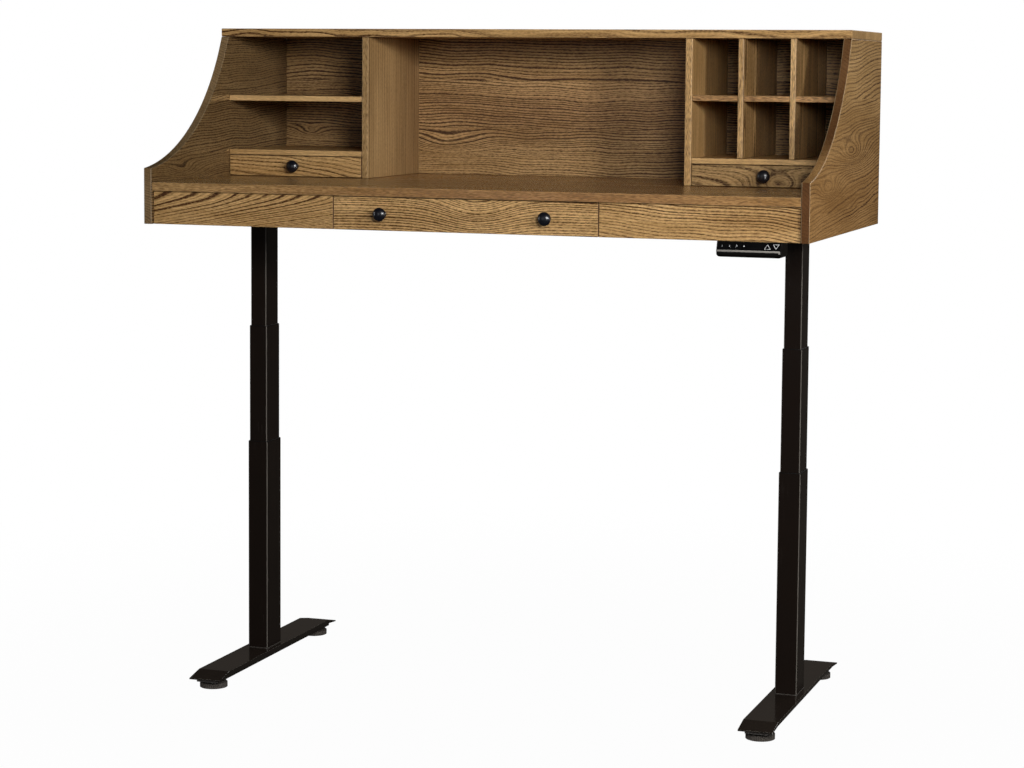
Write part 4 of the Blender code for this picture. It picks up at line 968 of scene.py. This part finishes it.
def make_floor():
    """A white floor that keeps the desk's shadow. Gloss sees it dimly, as in the photographed finish."""
    mesh = bpy.data.meshes.new("floor")
    shape = bmesh.new()
    bmesh.ops.create_grid(shape, x_segments=1, y_segments=1, size=FLOOR_REACH)
    shape.to_mesh(mesh)
    shape.free()
    floor = bpy.data.objects.new("floor", mesh)
    bpy.context.scene.collection.objects.link(floor)
    material, tree = start_finish("pale_floor")
    camera, mirrored = ray_kinds(tree)
    where = add_node(tree, "TexCoord", {}).outputs["Object"]
    reach = add_node(tree, "VectorMath", {0: where}, operation="LENGTH").outputs["Value"]
    white = sums(tree, "MULTIPLY", camera, fade(tree, reach, *FLOOR_FADE, NEAR_WHITE, 1.0))
    share = sums(tree, "MAXIMUM", white, mirrored)
    matt = add_node(tree, "BsdfDiffuse", {"Color": FLOOR_MATT})
    seen = blend_colours(tree, camera, FLOOR_GLOSS, WHITE)
    glow = add_node(tree, "Emission", {"Color": seen, "Strength": 1.0})
    show_shader(tree, add_node(tree, "MixShader", {0: share, 1: matt.outputs[0], 2: glow.outputs[0]}))
    mesh.materials.append(material)


def make_room_light():
    """White for the camera, a dim even room for the desk, and in gloss a pale backdrop near the floor."""
    world = bpy.data.worlds.new("studio")
    bpy.context.scene.world = world
    world.use_nodes = True
    tree = world.node_tree
    tree.nodes.clear()
    camera, mirrored = ray_kinds(tree)
    direction = add_node(tree, "TexCoord", {}).outputs["Generated"]
    climb = add_node(tree, "SeparateXYZ", {0: direction}).outputs[2]
    band = sums(tree, "MULTIPLY", fade(tree, climb, *BAND_FOOT), fade(tree, climb, *BAND_HEAD, 1.0, 0.0))
    dim = add_share(tree, ROOM_GLOSS, band, BACKDROP_GLOSS - ROOM_GLOSS)
    backdrop = add_node(tree, "Background", {"Color": WHITE, "Strength": 1.0}).outputs[0]
    mirror = add_node(tree, "Background", {"Color": MIRRORED_TINT, "Strength": dim}).outputs[0]
    ambient = add_node(tree, "Background", {"Color": ROOM_TINT, "Strength": AMBIENT}).outputs[0]
    unseen = add_node(tree, "MixShader", {0: mirrored, 1: ambient, 2: mirror}).outputs[0]
    mix = add_node(tree, "MixShader", {0: camera, 1: unseen, 2: backdrop})
    surface = add_node(tree, "OutputWorld", {})
    tree.links.new(mix.outputs[0], surface.inputs["Surface"])


NEUTRAL = (1.0, 1.0, 1.0)

# Each lamp: where it stands, where it points, its width and height, its power and its colour
LAMPS = {
    "front_softbox": ((1.9, -3.75, 2.0), (0.1, 0, 1.2), (0.80, 0.80), 80, NEUTRAL),
    "side_softbox": ((3.15, -2.9, 2.0), (0.5, 0.1, 1.2), (0.38, 0.38), 64, NEUTRAL),
    "left_softbox": ((-1.1, -4.2, 1.35), (0.2, 0, 1.2), (0.9, 1.2), 4.0, (0.92, 0.97, 1.0)),
    "right_strip": ((4.0, -1.05, 0.9), (0.6, 0, 0.9), (0.35, 1.6), 12, (0.96, 0.97, 1.0)),
    "left_strip": ((-3.4, -1.7, 1.3), (0, 0, 1.15), (0.20, 1.2), 12, (0.98, 0.98, 1.0)),
    "back_softbox": ((2.3, 4.4, 3.9), (0, 0.3, 1.1), (3.0, 3.0), 80, NEUTRAL),
}


def make_lamps():
    for name, (place, aim, size, power, colour) in LAMPS.items():
        light = bpy.data.lights.new(name, "AREA")
        light.shape = "RECTANGLE"
        light.size, light.size_y = size
        light.energy = power
        light.color = colour
        lamp = bpy.data.objects.new(name, light)
        lamp.location = place
        lamp.rotation_euler = (Vector(aim) - Vector(place)).to_track_quat("-Z", "Y").to_euler()
        bpy.context.scene.collection.objects.link(lamp)


def main():
    make_camera()
    make_floor()
    make_room_light()
    make_lamps()
    finishes = dress_frame()
    make_knobs(finishes)
    make_key_marks(finishes)
    make_handset_trim(finishes)
    make_glide_collars(finishes)
    make_weld_beads(finishes)
    make_channel_caps(finishes)
    make_shelf_fillets(finishes)
    make_glue_lines(finishes)
    make_bracket_screws(finishes)
    bpy.context.scene.view_settings.view_transform = "Standard"


main()
